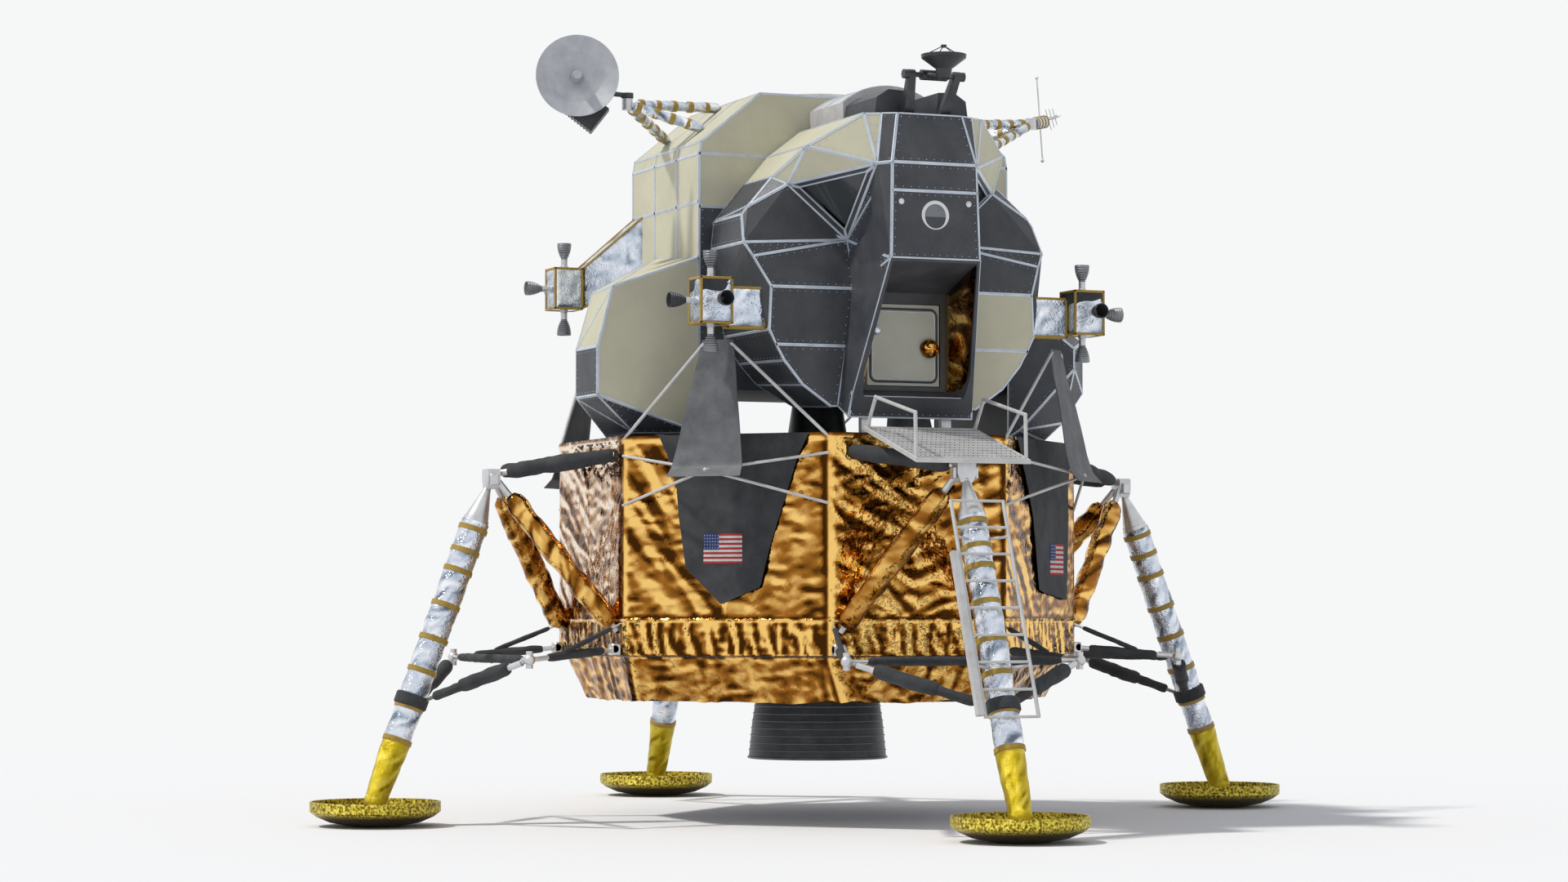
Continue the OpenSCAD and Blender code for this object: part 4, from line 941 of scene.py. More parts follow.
DISH_TIP, AERIAL_TIP = np.array([-1.951, -0.27, 6.357]), np.array([2.034, -0.29, 6.381])
piece("dish_boom_film", boom([(-0.971, -0.064, 6.398), (-1.264, -0.387, 6.158), (-1.305, 0.408, 6.125)],
                             DISH_TIP, 0.045, 71.0, 1.06), stands_for=["dish_boom"])
piece("aerial_boom_film", boom([(1.12, -0.70, 6.276), (1.38, -0.76, 6.063), (1.33, 0.26, 6.104)],
                               AERIAL_TIP, 0.042, 81.0, 1.3), stands_for=["aerial_boom"])

# %% Deflectors
SWEEP = [(0.160, 0.805), (0.205, 0.560), (0.270, 0.300), (0.310, 0.100), (0.350, -0.120), (0.400, -0.290),
         (0.480, -0.375)]


def deflector(seed):
    """A curved sheet and its rods, on the front wall's side before it is turned."""
    shares = np.linspace(0, 1, 40)
    places = np.linspace(0, 1, len(SWEEP))
    reach = DIAG_R + np.interp(shares, places, [p[0] for p in SWEEP])
    height = DECK_Z + np.interp(shares, places, [p[1] for p in SWEEP])
    half = np.interp(height, [height[-1], height[0]], [0.34, 0.145])
    across = np.linspace(-1, 1, 18)
    x = half[:, None] * across[None]
    dent = 0.010 * (facets(x, height[:, None] + 0 * x, 0.16, 70, 2.2, seed) - 0.5)
    front = np.stack([x, -(reach[:, None] - 0.007 + dent), height[:, None] + 0 * x], -1)
    rear = front + [0, 0.010, 0]
    points = np.vstack([front.reshape(-1, 3), rear.reshape(-1, 3)])
    faces = sheet_faces(*x.shape)
    normal = np.cross(points[x.shape[1]] - points[0], points[1] - points[0])
    if normal[1] <= 0:
        faces = [face[::-1] for face in faces]
    parts = [(points, faces, SHEET, np.full(len(points), 0.5))]
    apex = np.array([0, -(DIAG_R + 0.412), 3.055])
    for side in (-1, 1):
        parts.append(tube([side * 0.125, -(DIAG_R + 0.158), DECK_Z + 0.775],
                          [side * DIAG_S, -DIAG_R, DECK_Z - 0.035], 0.015, PALE, 12))
        for drop in (0.17, 0.6):
            parts.append(tube(apex, [side * DIAG_S, -DIAG_R, DECK_Z - drop], 0.013, PALE, 12))
    parts.append(ball(apex, 0.022, PALE))
    return parts


for k, (name, turn) in enumerate((("front_starboard", -45), ("front_port", 45), ("back_starboard", -135),
                                  ("back_port", 135))):
    piece(f"plume_sheet_{name}", turn_parts(deflector(90.0 + k), turn),
          stands_for=[f"deflector_{name}"])
print("deflectors made: 4")

# %% [markdown]
# ## Panels of the ascent stage
# The cabin is clad in flat panels held off its frame by a few millimetres. Pale trim covers each joint, and
# small rivets follow it. The panels could be cut from the body by hand; here each one is a thin plate on
# its own corner points, and every edge of a plate gets a trim strip by the same rule. Rivets are placed
# along the edges by a Geometry Nodes tree, as they repeat by the hundred.


# %% Plates and their trims
CABIN_MIDDLE = np.array([0, -0.9, 4.95])
PLATE_LIFT, PLATE_SINK, PLATE_INSET = 0.004, 0.012, 0.004
TRIM_LIFT, TRIM_WIDTH, RIVET_INSET = 0.0035, 0.0125, 0.034
trim_edges = []


def plate(corners, material, middle=CABIN_MIDDLE):
    """A thin plate on some corners, facing away from middle, and strips along its edges."""
    p = np.asarray(corners, float)
    centre = p.mean(0)
    normal = sum(np.cross(p[k] - centre, p[(k + 1) % len(p)] - centre) for k in range(len(p)))
    normal /= np.linalg.norm(normal)
    if np.dot(normal, centre - middle) < 0:
        normal = -normal
    reach = np.linalg.norm(p - centre, axis=1)[:, None]
    drawn = p - (p - centre) / np.maximum(reach, 0.001) * PLATE_INSET
    parts = [hull(np.vstack([drawn + PLATE_LIFT * normal, drawn - PLATE_SINK * normal]), material)]
    for a, b in zip(p, np.roll(p, -1, 0)):
        along = (b - a) / np.linalg.norm(b - a)
        into = np.cross(normal, along)
        into *= np.sign(np.dot(centre - a, into)) or 1.0
        high, low = normal * (PLATE_LIFT + TRIM_LIFT), -normal * 0.002
        strip = [q + into * w + h for q in (a, b) for w in (-0.001, TRIM_WIDTH) for h in (high, low)]
        parts.append(hull(strip, TRIM))
        trim_edges.append(tuple(q + into * RIVET_INSET + normal * PLATE_LIFT for q in (a, b)))
    return parts


def hull_plates(points, choose, middle, skip=lambda n, c: False):
    """Plates on every face of the convex body around some points. Choose gives each face its material."""
    body, faces, _, _ = hull(points, CHARCOAL)
    parts = []
    for face in faces:
        corners = body[face]
        normal = np.cross(corners[1] - corners[0], corners[2] - corners[0])
        normal /= np.linalg.norm(normal)
        if not skip(normal, corners.mean(0)):
            parts += plate(corners, choose(corners.mean(0)), middle)
    return parts


def up(x, y, z):
    """A cabin point in metres, from millimetres and the height above the deck."""
    return (x / 1000, y / 1000, DECK_Z + z / 1000)


# %% Cabin panels
PROW_TOP, PROW_BEND, PROW_CHIN = (303, -2448, 2725), (395, -2545, 2290), (416, -2568, 1470)
PROW_SILL, PROW_FOOT, PROW_SIDE = (563, -2093, 326), (582, -2044, 141), (419, -2383, 2725)
WINDOW_TOP, WINDOW_LOW, WINDOW_OUT = (468, -2395, 2290), (450, -1720, 1694), (978, -1641, 2168)
CHEEK_IN, RIB_LOW, RIB_FOOT = (457, -1900, 1259), (561, -1900, 622), (619, -1900, 239)
SHOULDER, OUTER_A, OUTER_B = (1073, -1503, 2238), (1335, -1600, 1965), (1390, -1600, 1895)
OUTER_C, OUTER_D, OUTER_E = (1426, -1732, 1640), (1363, -1784, 1518), (1241, -1900, 1255)
OUTER_F, OUTER_G, OUTER_H = (1258, -1900, 887), (1120, -1900, 625), (949, -1900, 420)
OUTER_J, BROW_OUT, BROW_TOP = (682, -1900, 235), (930, -1950, 2465), (552, -2311, 2725)
BACK = {1: (552, -870, 2725), 2: (867, -870, 2485), 3: (1076, -870, 2238), 4: (1359, -870, 1897),
        5: (1384, -870, 1654), 6: (1300, -870, 1200), 7: (1258, -870, 887), 8: (1120, -870, 655),
        9: (949, -870, 475), 10: (600, -870, 290)}
CHEEK_MID_IN, CHEEK_MID_OUT = (540, -1900, 760), (1200, -1900, 760)
SIDE_PANELS = [
    ([PROW_TOP, PROW_SIDE, WINDOW_TOP, PROW_BEND], "dark"), ([PROW_BEND, WINDOW_TOP, WINDOW_LOW], "dark"),
    ([PROW_BEND, WINDOW_LOW, PROW_CHIN], "dark"), ([PROW_SIDE, BROW_TOP, WINDOW_TOP], "tan"),
    ([BROW_TOP, BROW_OUT, WINDOW_TOP], "tan"), ([BROW_OUT, SHOULDER, WINDOW_OUT], "tan"),
    ([BROW_OUT, WINDOW_OUT, WINDOW_TOP], "tan"), ([WINDOW_LOW, WINDOW_OUT, OUTER_A], "dark"),
    ([WINDOW_OUT, SHOULDER, OUTER_A], "bright"), ([WINDOW_LOW, OUTER_A, OUTER_B, OUTER_C], "dark"),
    ([WINDOW_LOW, OUTER_C, OUTER_D], "dark"), ([WINDOW_LOW, OUTER_D, OUTER_E, CHEEK_IN], "dark"),
    ([CHEEK_IN, OUTER_E, OUTER_F, CHEEK_MID_OUT, CHEEK_MID_IN], "cheek"),
    ([CHEEK_MID_IN, CHEEK_MID_OUT, OUTER_G, OUTER_H, OUTER_J, RIB_FOOT], "cheek"),
    ([PROW_CHIN, WINDOW_LOW, CHEEK_IN], "dark"), ([PROW_CHIN, CHEEK_IN, RIB_LOW, PROW_SILL], "dark"),
    ([PROW_SILL, RIB_LOW, RIB_FOOT, PROW_FOOT], "dark"),
    ([OUTER_C, OUTER_D, OUTER_E, BACK[6], BACK[5]], "dark"), ([OUTER_E, OUTER_F, BACK[7], BACK[6]], "dark"),
    ([OUTER_F, OUTER_G, BACK[8], BACK[7]], "dark"), ([OUTER_G, OUTER_H, BACK[9], BACK[8]], "dark"),
    ([OUTER_H, OUTER_J, BACK[10], BACK[9]], "dark"), ([OUTER_C, OUTER_B, BACK[4], BACK[5]], "dark"),
    ([OUTER_B, OUTER_A, BACK[4]], "dark"), ([OUTER_A, SHOULDER, BACK[3], BACK[4]], "dark"),
    ([SHOULDER, BROW_OUT, BACK[2], BACK[3]], "tan"), ([BROW_OUT, BROW_TOP, BACK[1], BACK[2]], "tan")]
cabin_parts = []
for side in (-1, 1):
    tones = {"dark": CHARCOAL, "tan": TAN, "cheek": (CHARCOAL, TAN)[side > 0],
             "bright": (CHARCOAL, MESH)[side < 0]}
    for corners, tone in SIDE_PANELS:
        cabin_parts += plate([up(side * x, y, z) for x, y, z in corners], tones[tone])
PROW_MID = (400, -2552, 2050)
for low, high in ((PROW_CHIN, PROW_MID), (PROW_MID, PROW_BEND), (PROW_BEND, PROW_TOP)):
    corners = (1, low), (-1, low), (-1, high), (1, high)
    cabin_parts += plate([up(s * p[0], *p[1:]) for s, p in corners], CHARCOAL)
chin = (1, PROW_SILL), (-1, PROW_SILL), (-1, PROW_FOOT), (1, PROW_FOOT)
cabin_parts += plate([up(s * p[0], *p[1:]) for s, p in chin], CHARCOAL)
piece("cabin_panels", cabin_parts, flat=True)
print("cabin panels:", 2 * len(SIDE_PANELS) + 4)

# %% Midsection, side bays and aft bay
BODY_MIDDLE = np.array([0, -0.03, 5.0])
body_parts = []


def clad(points, material):
    """Adds one plate of the midsection, from points in millimetres."""
    body_parts.extend(plate([up(*p) for p in points], material, BODY_MIDDLE))


for side in (-1, 1):
    wall, eave, roof = side * 1500, side * 1481, side * 923
    for y0, y1 in ((-870, -330), (-330, 220), (220, 800)):
        for z0, z1 in ((1590, 2075), (2075, 2500)):
            clad([(wall, y0, z0), (wall, y1, z0), (wall, y1, z1), (wall, y0, z1)], TAN)
        clad([(wall, y0, 535), (wall, y1, 535), (wall, y1, 1590), (wall, y0, 1590)], CHARCOAL)
        clad([(wall, y0, 2500), (wall, y1, 2500), (eave, y1, 2606), (eave, y0, 2606)], TAN)
        clad([(eave, y0, 2606), (eave, y1, 2606), (roof, y1, 3062), (roof, y0, 3062)], TAN)
        clad([(roof, y0, 3062), (roof, y1, 3062), (side * 560, y1, 3062), (side * 560, y0, 3062)], TAN)
    clad([(0, -870, 2500), (wall, -870, 2500), (eave, -870, 2606), (roof, -870, 3062), (0, -870, 3062)], TAN)
    clad([(side * 700, -870, 2033), (wall, -870, 2033), (wall, -870, 2500), (side * 700, -870, 2500)], TAN)
    clad([(side * 1250, -870, 535), (wall, -870, 535), (wall, -870, 2033), (side * 1250, -870, 2033)],
         CHARCOAL)
    clad([(side * 900, 800, 2500), (wall, 800, 2500), (eave, 800, 2606), (roof, 800, 3062), (0, 800, 3062),
          (0, 800, 2700)], TAN)
for y0, y1 in ((-870, -560), (560, 800)):
    clad([(-560, y0, 3062), (560, y0, 3062), (560, y1, 3062), (-560, y1, 3062)], TAN)
piece("midsection_panels", body_parts, flat=True)

STARBOARD_BAY = [(0, -870, 1581), (803, -870, 1305), (940, -870, 777), (940, -870, 355),
                 (500, -600, 45), (0, -870, 45), (0, 193, 1662), (800, -350, 1285), (940, -320, 777),
                 (940, -320, 355), (0, 760, 1225), (650, 300, 925), (600, 250, 275),
                 (0, 700, 45), (430, 300, 45)]
PORT_BAY = [(0, -870, 1375), (680, -870, 881), (680, -870, 692), (950, -500, 965), (950, -500, 495),
            (703, -600, 216), (500, -600, 45), (128, -870, 124), (0, -870, 45), (0, 700, 1375),
            (750, 350, 955), (750, 350, 495), (430, 320, 45), (0, 700, 45)]
AFT_BAY = [(s * x, y, z) for s in (-1, 1) for x, y, z in (
    (1250, 800, 560), (1250, 800, 2550), (1050, 1600, 640), (1050, 1600, 2380), (900, 800, 2700),
    (760, 1500, 2560))]
for name, side, points in (("starboard", -1, STARBOARD_BAY), ("port", 1, PORT_BAY)):
    shell = [up(side * (1500.3 + x), y, z) for x, y, z in points]
    middle = np.mean(shell, 0)
    tone = (lambda c: TAN if c[2] > DECK_Z + 0.78 else CHARCOAL) if side < 0 else (lambda c: CHARCOAL)
    panels = hull_plates(shell, tone, middle, lambda n, c: abs(c[0]) < 1.503)
    piece(f"bay_panels_{name}", panels, flat=True)
shell = [up(*p) for p in AFT_BAY]
piece("aft_panels", hull_plates(shell, lambda c: TAN if c[2] > DECK_Z + 1.5 else CHARCOAL, np.mean(shell, 0),
                                lambda n, c: c[1] < 0.803), flat=True)
print("trimmed edges:", len(trim_edges))

# %% A Geometry Nodes tree for studs
def stud_tree(material):
    """A tree that puts small domes along the edges of a wire mesh, Spacing apart."""
    tree = bpy.data.node_groups.new(f"studs_{material.name}", "GeometryNodeTree")
    sockets = (("Geometry", "Geometry", "INPUT", None), ("Spacing", "Float", "INPUT", 0.055),
               ("Radius", "Float", "INPUT", 0.004), ("Geometry", "Geometry", "OUTPUT", None))
    for name, kind, way, value in sockets:
        socket = tree.interface.new_socket(name, in_out=way, socket_type=f"NodeSocket{kind}")
        if value is not None:
            socket.default_value = value
    nodes, link = tree.nodes, tree.links.new
    start, end = nodes.new("NodeGroupInput"), nodes.new("NodeGroupOutput")
    curve = nodes.new("GeometryNodeMeshToCurve")
    spread = nodes.new("GeometryNodeResampleCurve")
    spread.mode = "LENGTH"
    dome = nodes.new("GeometryNodeMeshIcoSphere")
    dome.inputs["Subdivisions"].default_value = 1
    place = nodes.new("GeometryNodeInstanceOnPoints")
    real = nodes.new("GeometryNodeRealizeInstances")
    finish = nodes.new("GeometryNodeSetMaterial")
    finish.inputs["Material"].default_value = material
    link(start.outputs["Geometry"], curve.inputs[0])
    link(curve.outputs[0], spread.inputs["Curve"])
    link(start.outputs["Spacing"], spread.inputs["Length"])
    link(start.outputs["Radius"], dome.inputs["Radius"])
    link(spread.outputs[0], place.inputs["Points"])
    link(dome.outputs["Mesh"], place.inputs["Instance"])
    link(place.outputs[0], real.inputs[0])
    link(real.outputs[0], finish.inputs["Geometry"])
    link(finish.outputs[0], end.inputs[0])
    return tree


def grown(name, points, edges, tree, settings):
    """Runs a tree on a wire mesh and keeps the result as one plain mesh."""
    wire = bpy.data.meshes.new(name + "_wire")
    wire.from_pydata([tuple(map(float, p)) for p in points], edges, [])
    carrier = bpy.data.objects.new(name + "_wire", wire)
    bpy.context.collection.objects.link(carrier)
    modifier = carrier.modifiers.new("grow", "NODES")
    modifier.node_group = tree
    for item in tree.interface.items_tree:
        if item.in_out == "INPUT" and item.name in settings:
            modifier[item.identifier] = settings[item.name]
    carrier.update_tag()
    graph = bpy.context.evaluated_depsgraph_get()
    mesh = bpy.data.meshes.new_from_object(carrier.evaluated_get(graph))
    carrier.modifiers.remove(modifier)
    bpy.data.objects.remove(carrier)
    mesh.name = name
    return place_piece(name, mesh)


wire_points, wire_edges = [], []
for a, b in trim_edges:
    if np.linalg.norm(b - a) > 0.12:
        gap = (b - a) / np.linalg.norm(b - a) * 0.03
        wire_edges.append((len(wire_points), len(wire_points) + 1))
        wire_points += [a + gap, b - gap]
grown("rivets", wire_points, wire_edges, stud_tree(TRIM), {"Spacing": 0.07, "Radius": 0.0045})
print("rivet rows:", len(wire_edges))

# %% [markdown]
# ## Windows, hatch and the way in
# The two windows are triangles of glass set deep in their frames. The forward hatch is a pale door with a
# rounded seal, at the back of a recess whose side walls are gold film. The seal rides with the door; the
# film stays.

# %% Hatch, recess and front fittings
def ring_tube(points, radius, material, around=10):
    """A closed tube through a loop of points."""
    return [tube(a, b, radius, material, around) for a, b in zip(points, points[1:] + points[:1])]


def rounded_loop(half, low, high, corner, y):
    """A rounded rectangle in the plane at y."""
    loop, steps = [], 6
    for cx, cz, start in ((half - corner, high - corner, 0), (-half + corner, high - corner, 90),
                          (-half + corner, low + corner, 180), (half - corner, low + corner, 270)):
        for k in range(steps + 1):
            a = math.radians(start + 90 * k / steps)
            loop.append(np.array([cx + corner * math.cos(a), y, cz + corner * math.sin(a)]))
    return loop


seal = ring_tube(rounded_loop(0.315, 3.84, 4.47, 0.06, -1.902), 0.010, SOOT, 8)
seal += ring_tube(rounded_loop(0.295, 3.86, 4.45, 0.055, -1.902), 0.005, TRIM, 8)
gold_dome = [(0, 0.085), (0.03, 0.083), (0.06, 0.066), (0.08, 0.04), (0.088, 0.004)]
silver_dome = [(0, 0.045), (0.03, 0.042), (0.05, 0.03), (0.058, 0.004)]
seal.append(tube([0.24, -1.902, 4.13], [0.24, -1.99, 4.13], gold_dome, GOLD, 32, 0.01, 0.012, 0.03, 1.2,
                 0, 5))
seal.append(tube([-0.27, -1.902, 4.28], [-0.27, -1.96, 4.28], silver_dome, SILVER, 24))
piece("hatch_seal", seal, body="forward_hatch")
recess = []
for side in (-1, 1):
    corners = [(side * 0.404, -1.905, 3.77), (side * 0.404, -1.905, 4.606), (side * 0.394, -2.545, 4.826),
               (side * 0.500, -2.085, 3.70)]
    corners = corners if side < 0 else corners[::-1]
    p = np.array(corners)
    if np.cross(p[2] - p[0], p[3] - p[1])[0] * side > 0:
        corners = corners[::-1]
    recess.append(film_panel(corners, GOLD, 0.022, 0.07, 17.0 + side, 0.016, 0.004, 2.0))
piece("recess_film", recess)
porthole_rim = [(0.0, 0.128), (0.022, 0.128), (0.026, 0.118), (0.022, 0.098), (0.0, 0.095)]
light_rim = [(0.0, 0.045), (0.02, 0.045), (0.024, 0.036), (0.0, 0.030)]
front = [lathe([0, -2.54, 5.22], [0, -2.60, 5.22], porthole_rim, RIM, 40),
         tube([0, -2.54, 5.22], [0, -2.562, 5.22], 0.097, PORTHOLE, 40)]
for side in (-1, 1):
    front.append(lathe([side * 0.315, -2.53, 5.33], [side * 0.315, -2.60, 5.33], light_rim, RIM, 24))
    front.append(ball([side * 0.315, -2.545, 5.33], 0.03, RIM, 20))
piece("front_fittings", front)
frames = []
for side in (-1, 1):
    tri = np.array([up(side * x, y, z) for x, y, z in (WINDOW_LOW, WINDOW_OUT, WINDOW_TOP)])
    middle = tri.mean(0)
    normal = np.cross(tri[1] - tri[0], tri[2] - tri[0])
    normal *= np.sign(-normal[1]) / np.linalg.norm(normal)
    inner = middle + (tri - middle) * 0.74
    for k in range(3):
        a, b, c, d = tri[k], tri[(k + 1) % 3], inner[(k + 1) % 3], inner[k]
        frames += plate([a, b, c, d], CHARCOAL, middle - normal)
piece("window_frames", frames, flat=True)
print("front fittings made")

# %% [markdown]
# ## Blankets on the corner walls
# Four dark cloth blankets hang from the top edge, over the film of the corner walls. Each is cut to an
# outline, so it is a grid whose rows run from one edge of the outline to the other, with a small thickness.
# A plain striped pennant is sewn on each front blanket.

# %% Blankets
STARBOARD_CUT = [(-0.63, 0.0), (-0.46, 0.36), (-0.43, 0.70), (-0.36, 1.149), (-0.02, 1.459), (0.36, 1.312),
                 (0.46, 0.944), (0.72, 0.201), (0.83, 0.0)]
PORT_CUT = [(-0.75, 0.0), (-0.29, 0.68), (-0.14, 1.339), (0.68, 1.419), (0.72, 0.40), (0.80, 0.0)]
CLOTH_OFF = 0.037


def cut_row(cut, drop):
    """Left and right edges of the outline at a drop below the deck."""
    hits = []
    for (x0, d0), (x1, d1) in zip(cut, cut[1:]):
        if min(d0, d1) <= drop <= max(d0, d1) and d0 != d1:
            hits.append(x0 + (x1 - x0) * (drop - d0) / (d1 - d0))
    return min(hits) * DIAG_S, max(hits) * DIAG_S


def blanket(cut, flat_at, seed):
    """A hanging sheet on the outline, smooth round its pennant. Gives its parts and its flat area."""
    deepest = max(d for _, d in cut)
    drops = np.append(np.linspace(0.0, deepest - 0.012, 56), deepest - 0.003)
    across = np.linspace(0, 1, 40)
    edges = np.array([cut_row(cut, d) for d in drops])
    x = edges[:, :1] + across[None] * (edges[:, 1:] - edges[:, :1])
    z = DECK_Z - np.repeat(drops[:, None], len(across), 1)
    beside, above = np.abs(x - flat_at[0]) - 0.19, np.abs(z - flat_at[1]) - 0.15
    calm = np.clip(np.hypot(np.maximum(beside, 0), np.maximum(above, 0)) / 0.12, 0, 1)
    hang = 0.6 * facets(x, z, 0.30, 75, 2.6, seed) + 0.4 * facets(x, z, 0.11, 20, 1.5, seed + 2)
    y = -(DIAG_R + CLOTH_OFF + 0.016 * calm * (hang - 0.4))
    front = np.stack([x, y, z], -1).reshape(-1, 3)
    rear = front + [0, 0.004, 0]
    faces = [face[::-1] for face in sheet_faces(len(drops), len(across))]
    points = np.vstack([front, rear])
    p = points[faces[0][:3]]
    if np.cross(p[1] - p[0], p[2] - p[0])[1] > 0:
        faces = [face[::-1] for face in faces]
    widths = edges[:, 1] - edges[:, 0]
    area = float(np.sum((widths[1:] + widths[:-1]) / 2 * np.diff(drops)))
    return [(points, faces, CLOTH, np.full(len(points), 0.5))], area, deepest


def pennant(low_s, high_s, low_z, high_z):
    """Thirteen sewn stripes and a blue corner, just proud of the cloth."""
    y0, y1 = -(DIAG_R + CLOTH_OFF + 0.0035), -(DIAG_R + CLOTH_OFF - 0.001)
    step = (high_z - low_z) / 13
    parts = [block([low_s, y0, low_z + k * step], [high_s, y1, low_z + (k + 1) * step], (RED, WHITE)[k % 2],
                   0.0002) for k in range(13)]
    parts.append(block([low_s - 0.001, y0 - 0.0008, low_z + 6 * step],
                       [low_s + 0.4 * (high_s - low_s), y1, high_z + 0.001], BLUE, 0.0002))
    return parts


for name, turn, cut, sewn in (
        ("front_starboard", -45, STARBOARD_CUT, (-0.18, 0.18, 2.265, 2.523)),
        ("front_port", 45, PORT_CUT, (0.17, 0.54, 2.18, 2.46)),
        ("back_starboard", -135, [(-x, d) for x, d in STARBOARD_CUT], None),
        ("back_port", 135, [(-x, d) for x, d in PORT_CUT], None)):
    centre = ((sewn[0] + sewn[1]) / 2, (sewn[2] + sewn[3]) / 2) if sewn else (9.0, 9.0)
    parts, area, deepest = blanket(cut, centre, 7.0 + turn)
    cloth = piece(f"blanket_{name}", turn_parts(parts, turn), stands_for=["side_blankets"])
    if sewn:
        piece(f"pennant_{name}", turn_parts(pennant(*sewn), turn), flat=True)
        low, high = sewn[0], sewn[0] + 0.4 * (sewn[1] - sewn[0])
        top, tall = sewn[3], (sewn[3] - sewn[2]) * 7 / 13
        wires, dots_y = [], -(DIAG_R + CLOTH_OFF + 0.0045)
        for k in range(5):
            z = top - tall * (k + 0.6) / 5.2
            wires += [[low + 0.012, dots_y, z], [high - 0.008, dots_y, z]]
        grown(f"dots_{name}", turned(wires, turn), [(2 * k, 2 * k + 1) for k in range(5)],
                            stud_tree(WHITE), {"Spacing": 0.024, "Radius": 0.0045})

# %% [markdown]
# ## Porch, engine and antenna details
# The porch is a ribbed tread plate with rows of small holes, drawn as dark studs that are painted shade in
# place of the holes. The engine's bell is stiffened with rings, which ride with the engine as it swings, and
# the box behind the dish carries cooling fins, which ride with the yoke.

# %% Tread plate
PORCH_SLOPE = math.radians(16.17)


def on_porch(s, out, lift):
    """A point on the porch, from its sideways place, its distance out and its height above the plate."""
    return np.array([s, -2.214 - out * math.cos(PORCH_SLOPE) + lift * math.sin(PORCH_SLOPE),
                     3.433 - out * math.sin(PORCH_SLOPE) + lift * math.cos(PORCH_SLOPE)])


tread = []
for k in range(12):
    out = 0.06 + 0.094 * k
    a, b = on_porch(-0.505, out, 0.001), on_porch(0.505, out, 0.001)
    tread.append(tube(a, b, 0.007, PALE, 8))
for s in (-0.515, 0.515):
    tread.append(tube(on_porch(s, 0.01, 0.0), on_porch(s, 1.14, 0.0), 0.010, PALE, 10))
tread.append(tube(on_porch(-0.515, 1.14, 0.0), on_porch(0.515, 1.14, 0.0), 0.010, PALE, 10))
piece("porch_ribs", tread)
# Each dark stud is painted shade standing in for a hole.
hole_points, hole_edges = [], []
for k in range(22):
    out = 0.085 + 0.047 * k
    hole_edges.append((2 * k, 2 * k + 1))
    hole_points += [on_porch(-0.48, out, -0.0035), on_porch(0.48, out, -0.0035)]
grown("porch_hole_shade", hole_points, hole_edges, stud_tree(SOOT), {"Spacing": 0.042, "Radius": 0.0085})
print("rows of holes:", len(hole_edges))

# %% Engine rings and yoke fins
MOUTH_Z, THROAT_Z, MOUTH_R = 0.526, 2.09, 0.626
BELL = [(0, 0.19), (0.1, 0.3), (0.22, 0.47), (0.36, 0.66), (0.5, 0.8), (0.64, 0.89), (0.8, 0.95), (1, 1)]
rings = []
for k in range(15):
    z = MOUTH_Z + 0.012 + 0.066 * k
    share = (THROAT_Z - z) / (THROAT_Z - MOUTH_Z)
    r = MOUTH_R * float(np.interp(share, [b[0] for b in BELL], [b[1] for b in BELL]))
    deep = 0.012 if k == 0 else 0.007
    band = [(-deep, r - 0.004), (-deep * 0.6, r + deep), (deep * 0.6, r + deep), (deep, r - 0.004)]
    rings.append(lathe([0, 0, z], [0, 0, z + 1], band, RING, 72))
piece("bell_rings", rings, body="descent_engine")

PIVOT = np.array([-2.4431, -0.3066, 6.537])
cy, sy = math.cos(math.radians(38)), math.sin(math.radians(38))
lean = np.array([[cy, 0, sy], [0, 1, 0], [-sy, 0, cy]])
fins = []
for k in range(9):
    x = -0.136 + 0.034 * k
    points, faces, material, fold_shade = block([x - 0.005, -0.108, -0.157], [x + 0.005, 0.108, 0.07], SOOT, 0.002)
    fins.append((turned(points @ lean.T, -20) + PIVOT + [0.15, 0.11, -0.23], faces, material, fold_shade))
piece("yoke_fins", fins, body="dish_yoke", flat=True)

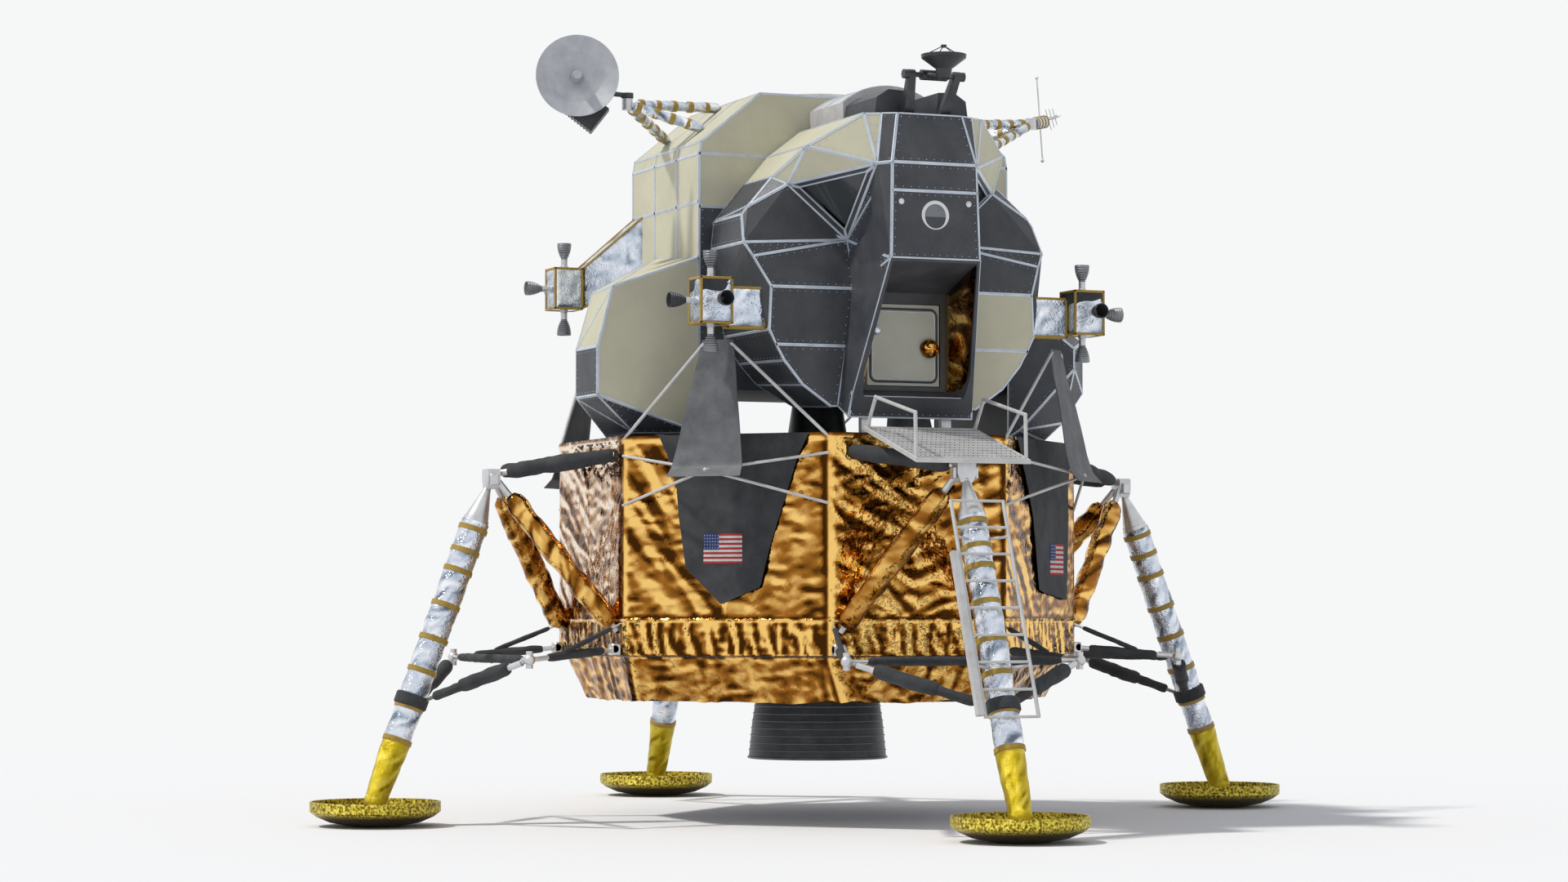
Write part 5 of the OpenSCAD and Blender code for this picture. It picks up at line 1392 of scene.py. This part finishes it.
# %% Side aerial and roof details
aerial = []
start, stop = AERIAL_TIP + [0.05, 0.018, 0.01], AERIAL_TIP + [0.18, 0.065, 0.04]
for share in (0.08, 0.36, 0.64, 0.92):
    c = between(start, stop, share)
    d = between(start, stop, share + 0.10)
    aerial.append(tube(c, d, [(0, 0.055), (0.003, 0.061), (0.010, 0.061), (0.013, 0.055)], TAPE, 28))
axis = np.array([0.15, 0.055, 0.07]) / np.linalg.norm([0.15, 0.055, 0.07])
for share, reach in ((0.35, 0.10), (0.6, 0.09), (0.85, 0.08)):
    c = between(AERIAL_TIP + [0.17, 0.062, 0.038], AERIAL_TIP + [0.33, 0.12, 0.11], share)
    for across in (np.array([0.0, 0.0, 1.0]), np.cross(axis, [0, 0, 1.0])):
        across = across - axis * np.dot(across, axis)
        across /= np.linalg.norm(across)
        aerial.append(tube(c - across * reach, c + across * reach, 0.0035, PALE, 8))
piece("aerial_elements", aerial)
roof = []
for side in (-1, 1):
    roof.append(tube([side * 0.452, -0.90, 6.10], [side * 0.452, -1.62, 6.10], 0.014, TRIM, 10))
for y in (-0.95, -1.25, -1.60):
    bends = np.linspace(-0.70, 0.70, 13)
    arc = [np.array([0.703 * math.sin(a), y, 5.75 + 0.703 * math.cos(a)]) for a in bends]
    roof += [tube(a, b, 0.006, TRIM, 8) for a, b in zip(arc, arc[1:])]
piece("roof_straps", roof)
print("details made")

# %% [markdown]
# ## Finishes for the pieces that stay as drawn
# Where the drawn shape is already right, only the finish changes: each piece's material slots are given one
# of the finishes above.

# %% Finishes by piece
FINISHES = (
    (CHARCOAL, "descent_stage cabin_front cabin_port cabin_starboard midsection tank_bay_port "
               "tank_bay_starboard aft_bay radar_fairings"),
    (SOOT, "descent_engine ascent_engine radar_mount radar_antenna dish_yoke"),
    (ALLOY, "gimbal_ring stage_fittings hatch_hinges docking_tunnel side_aerial"),
    (PALE, "ladder porch handrails overhead_hatch roof_fairing"),
    (PAD, "foot_pad_front foot_pad_starboard foot_pad_back foot_pad_port"),
    # The drawn heat shield has no stored painted shade, so the film finish reads 0 and paints it all at its
    # dark, painted-shade end.
    (GOLD, "base_heat_shield"), (GLASS, "window_panes"), (DOOR, "forward_hatch"), (DISH, "dish_antenna"))
for finish, names in FINISHES:
    for name in names.split():
        for slot in nodes[name].material_slots:
            slot.material = finish
print("drawn pieces finished:", sum(len(names.split()) for _, names in FINISHES))

# %% [markdown]
# ## Triangles added
# The last line prints how many triangles the added pieces hold.

# %% Triangles added
print("triangles added:", sum(count for _, count in made_pieces))
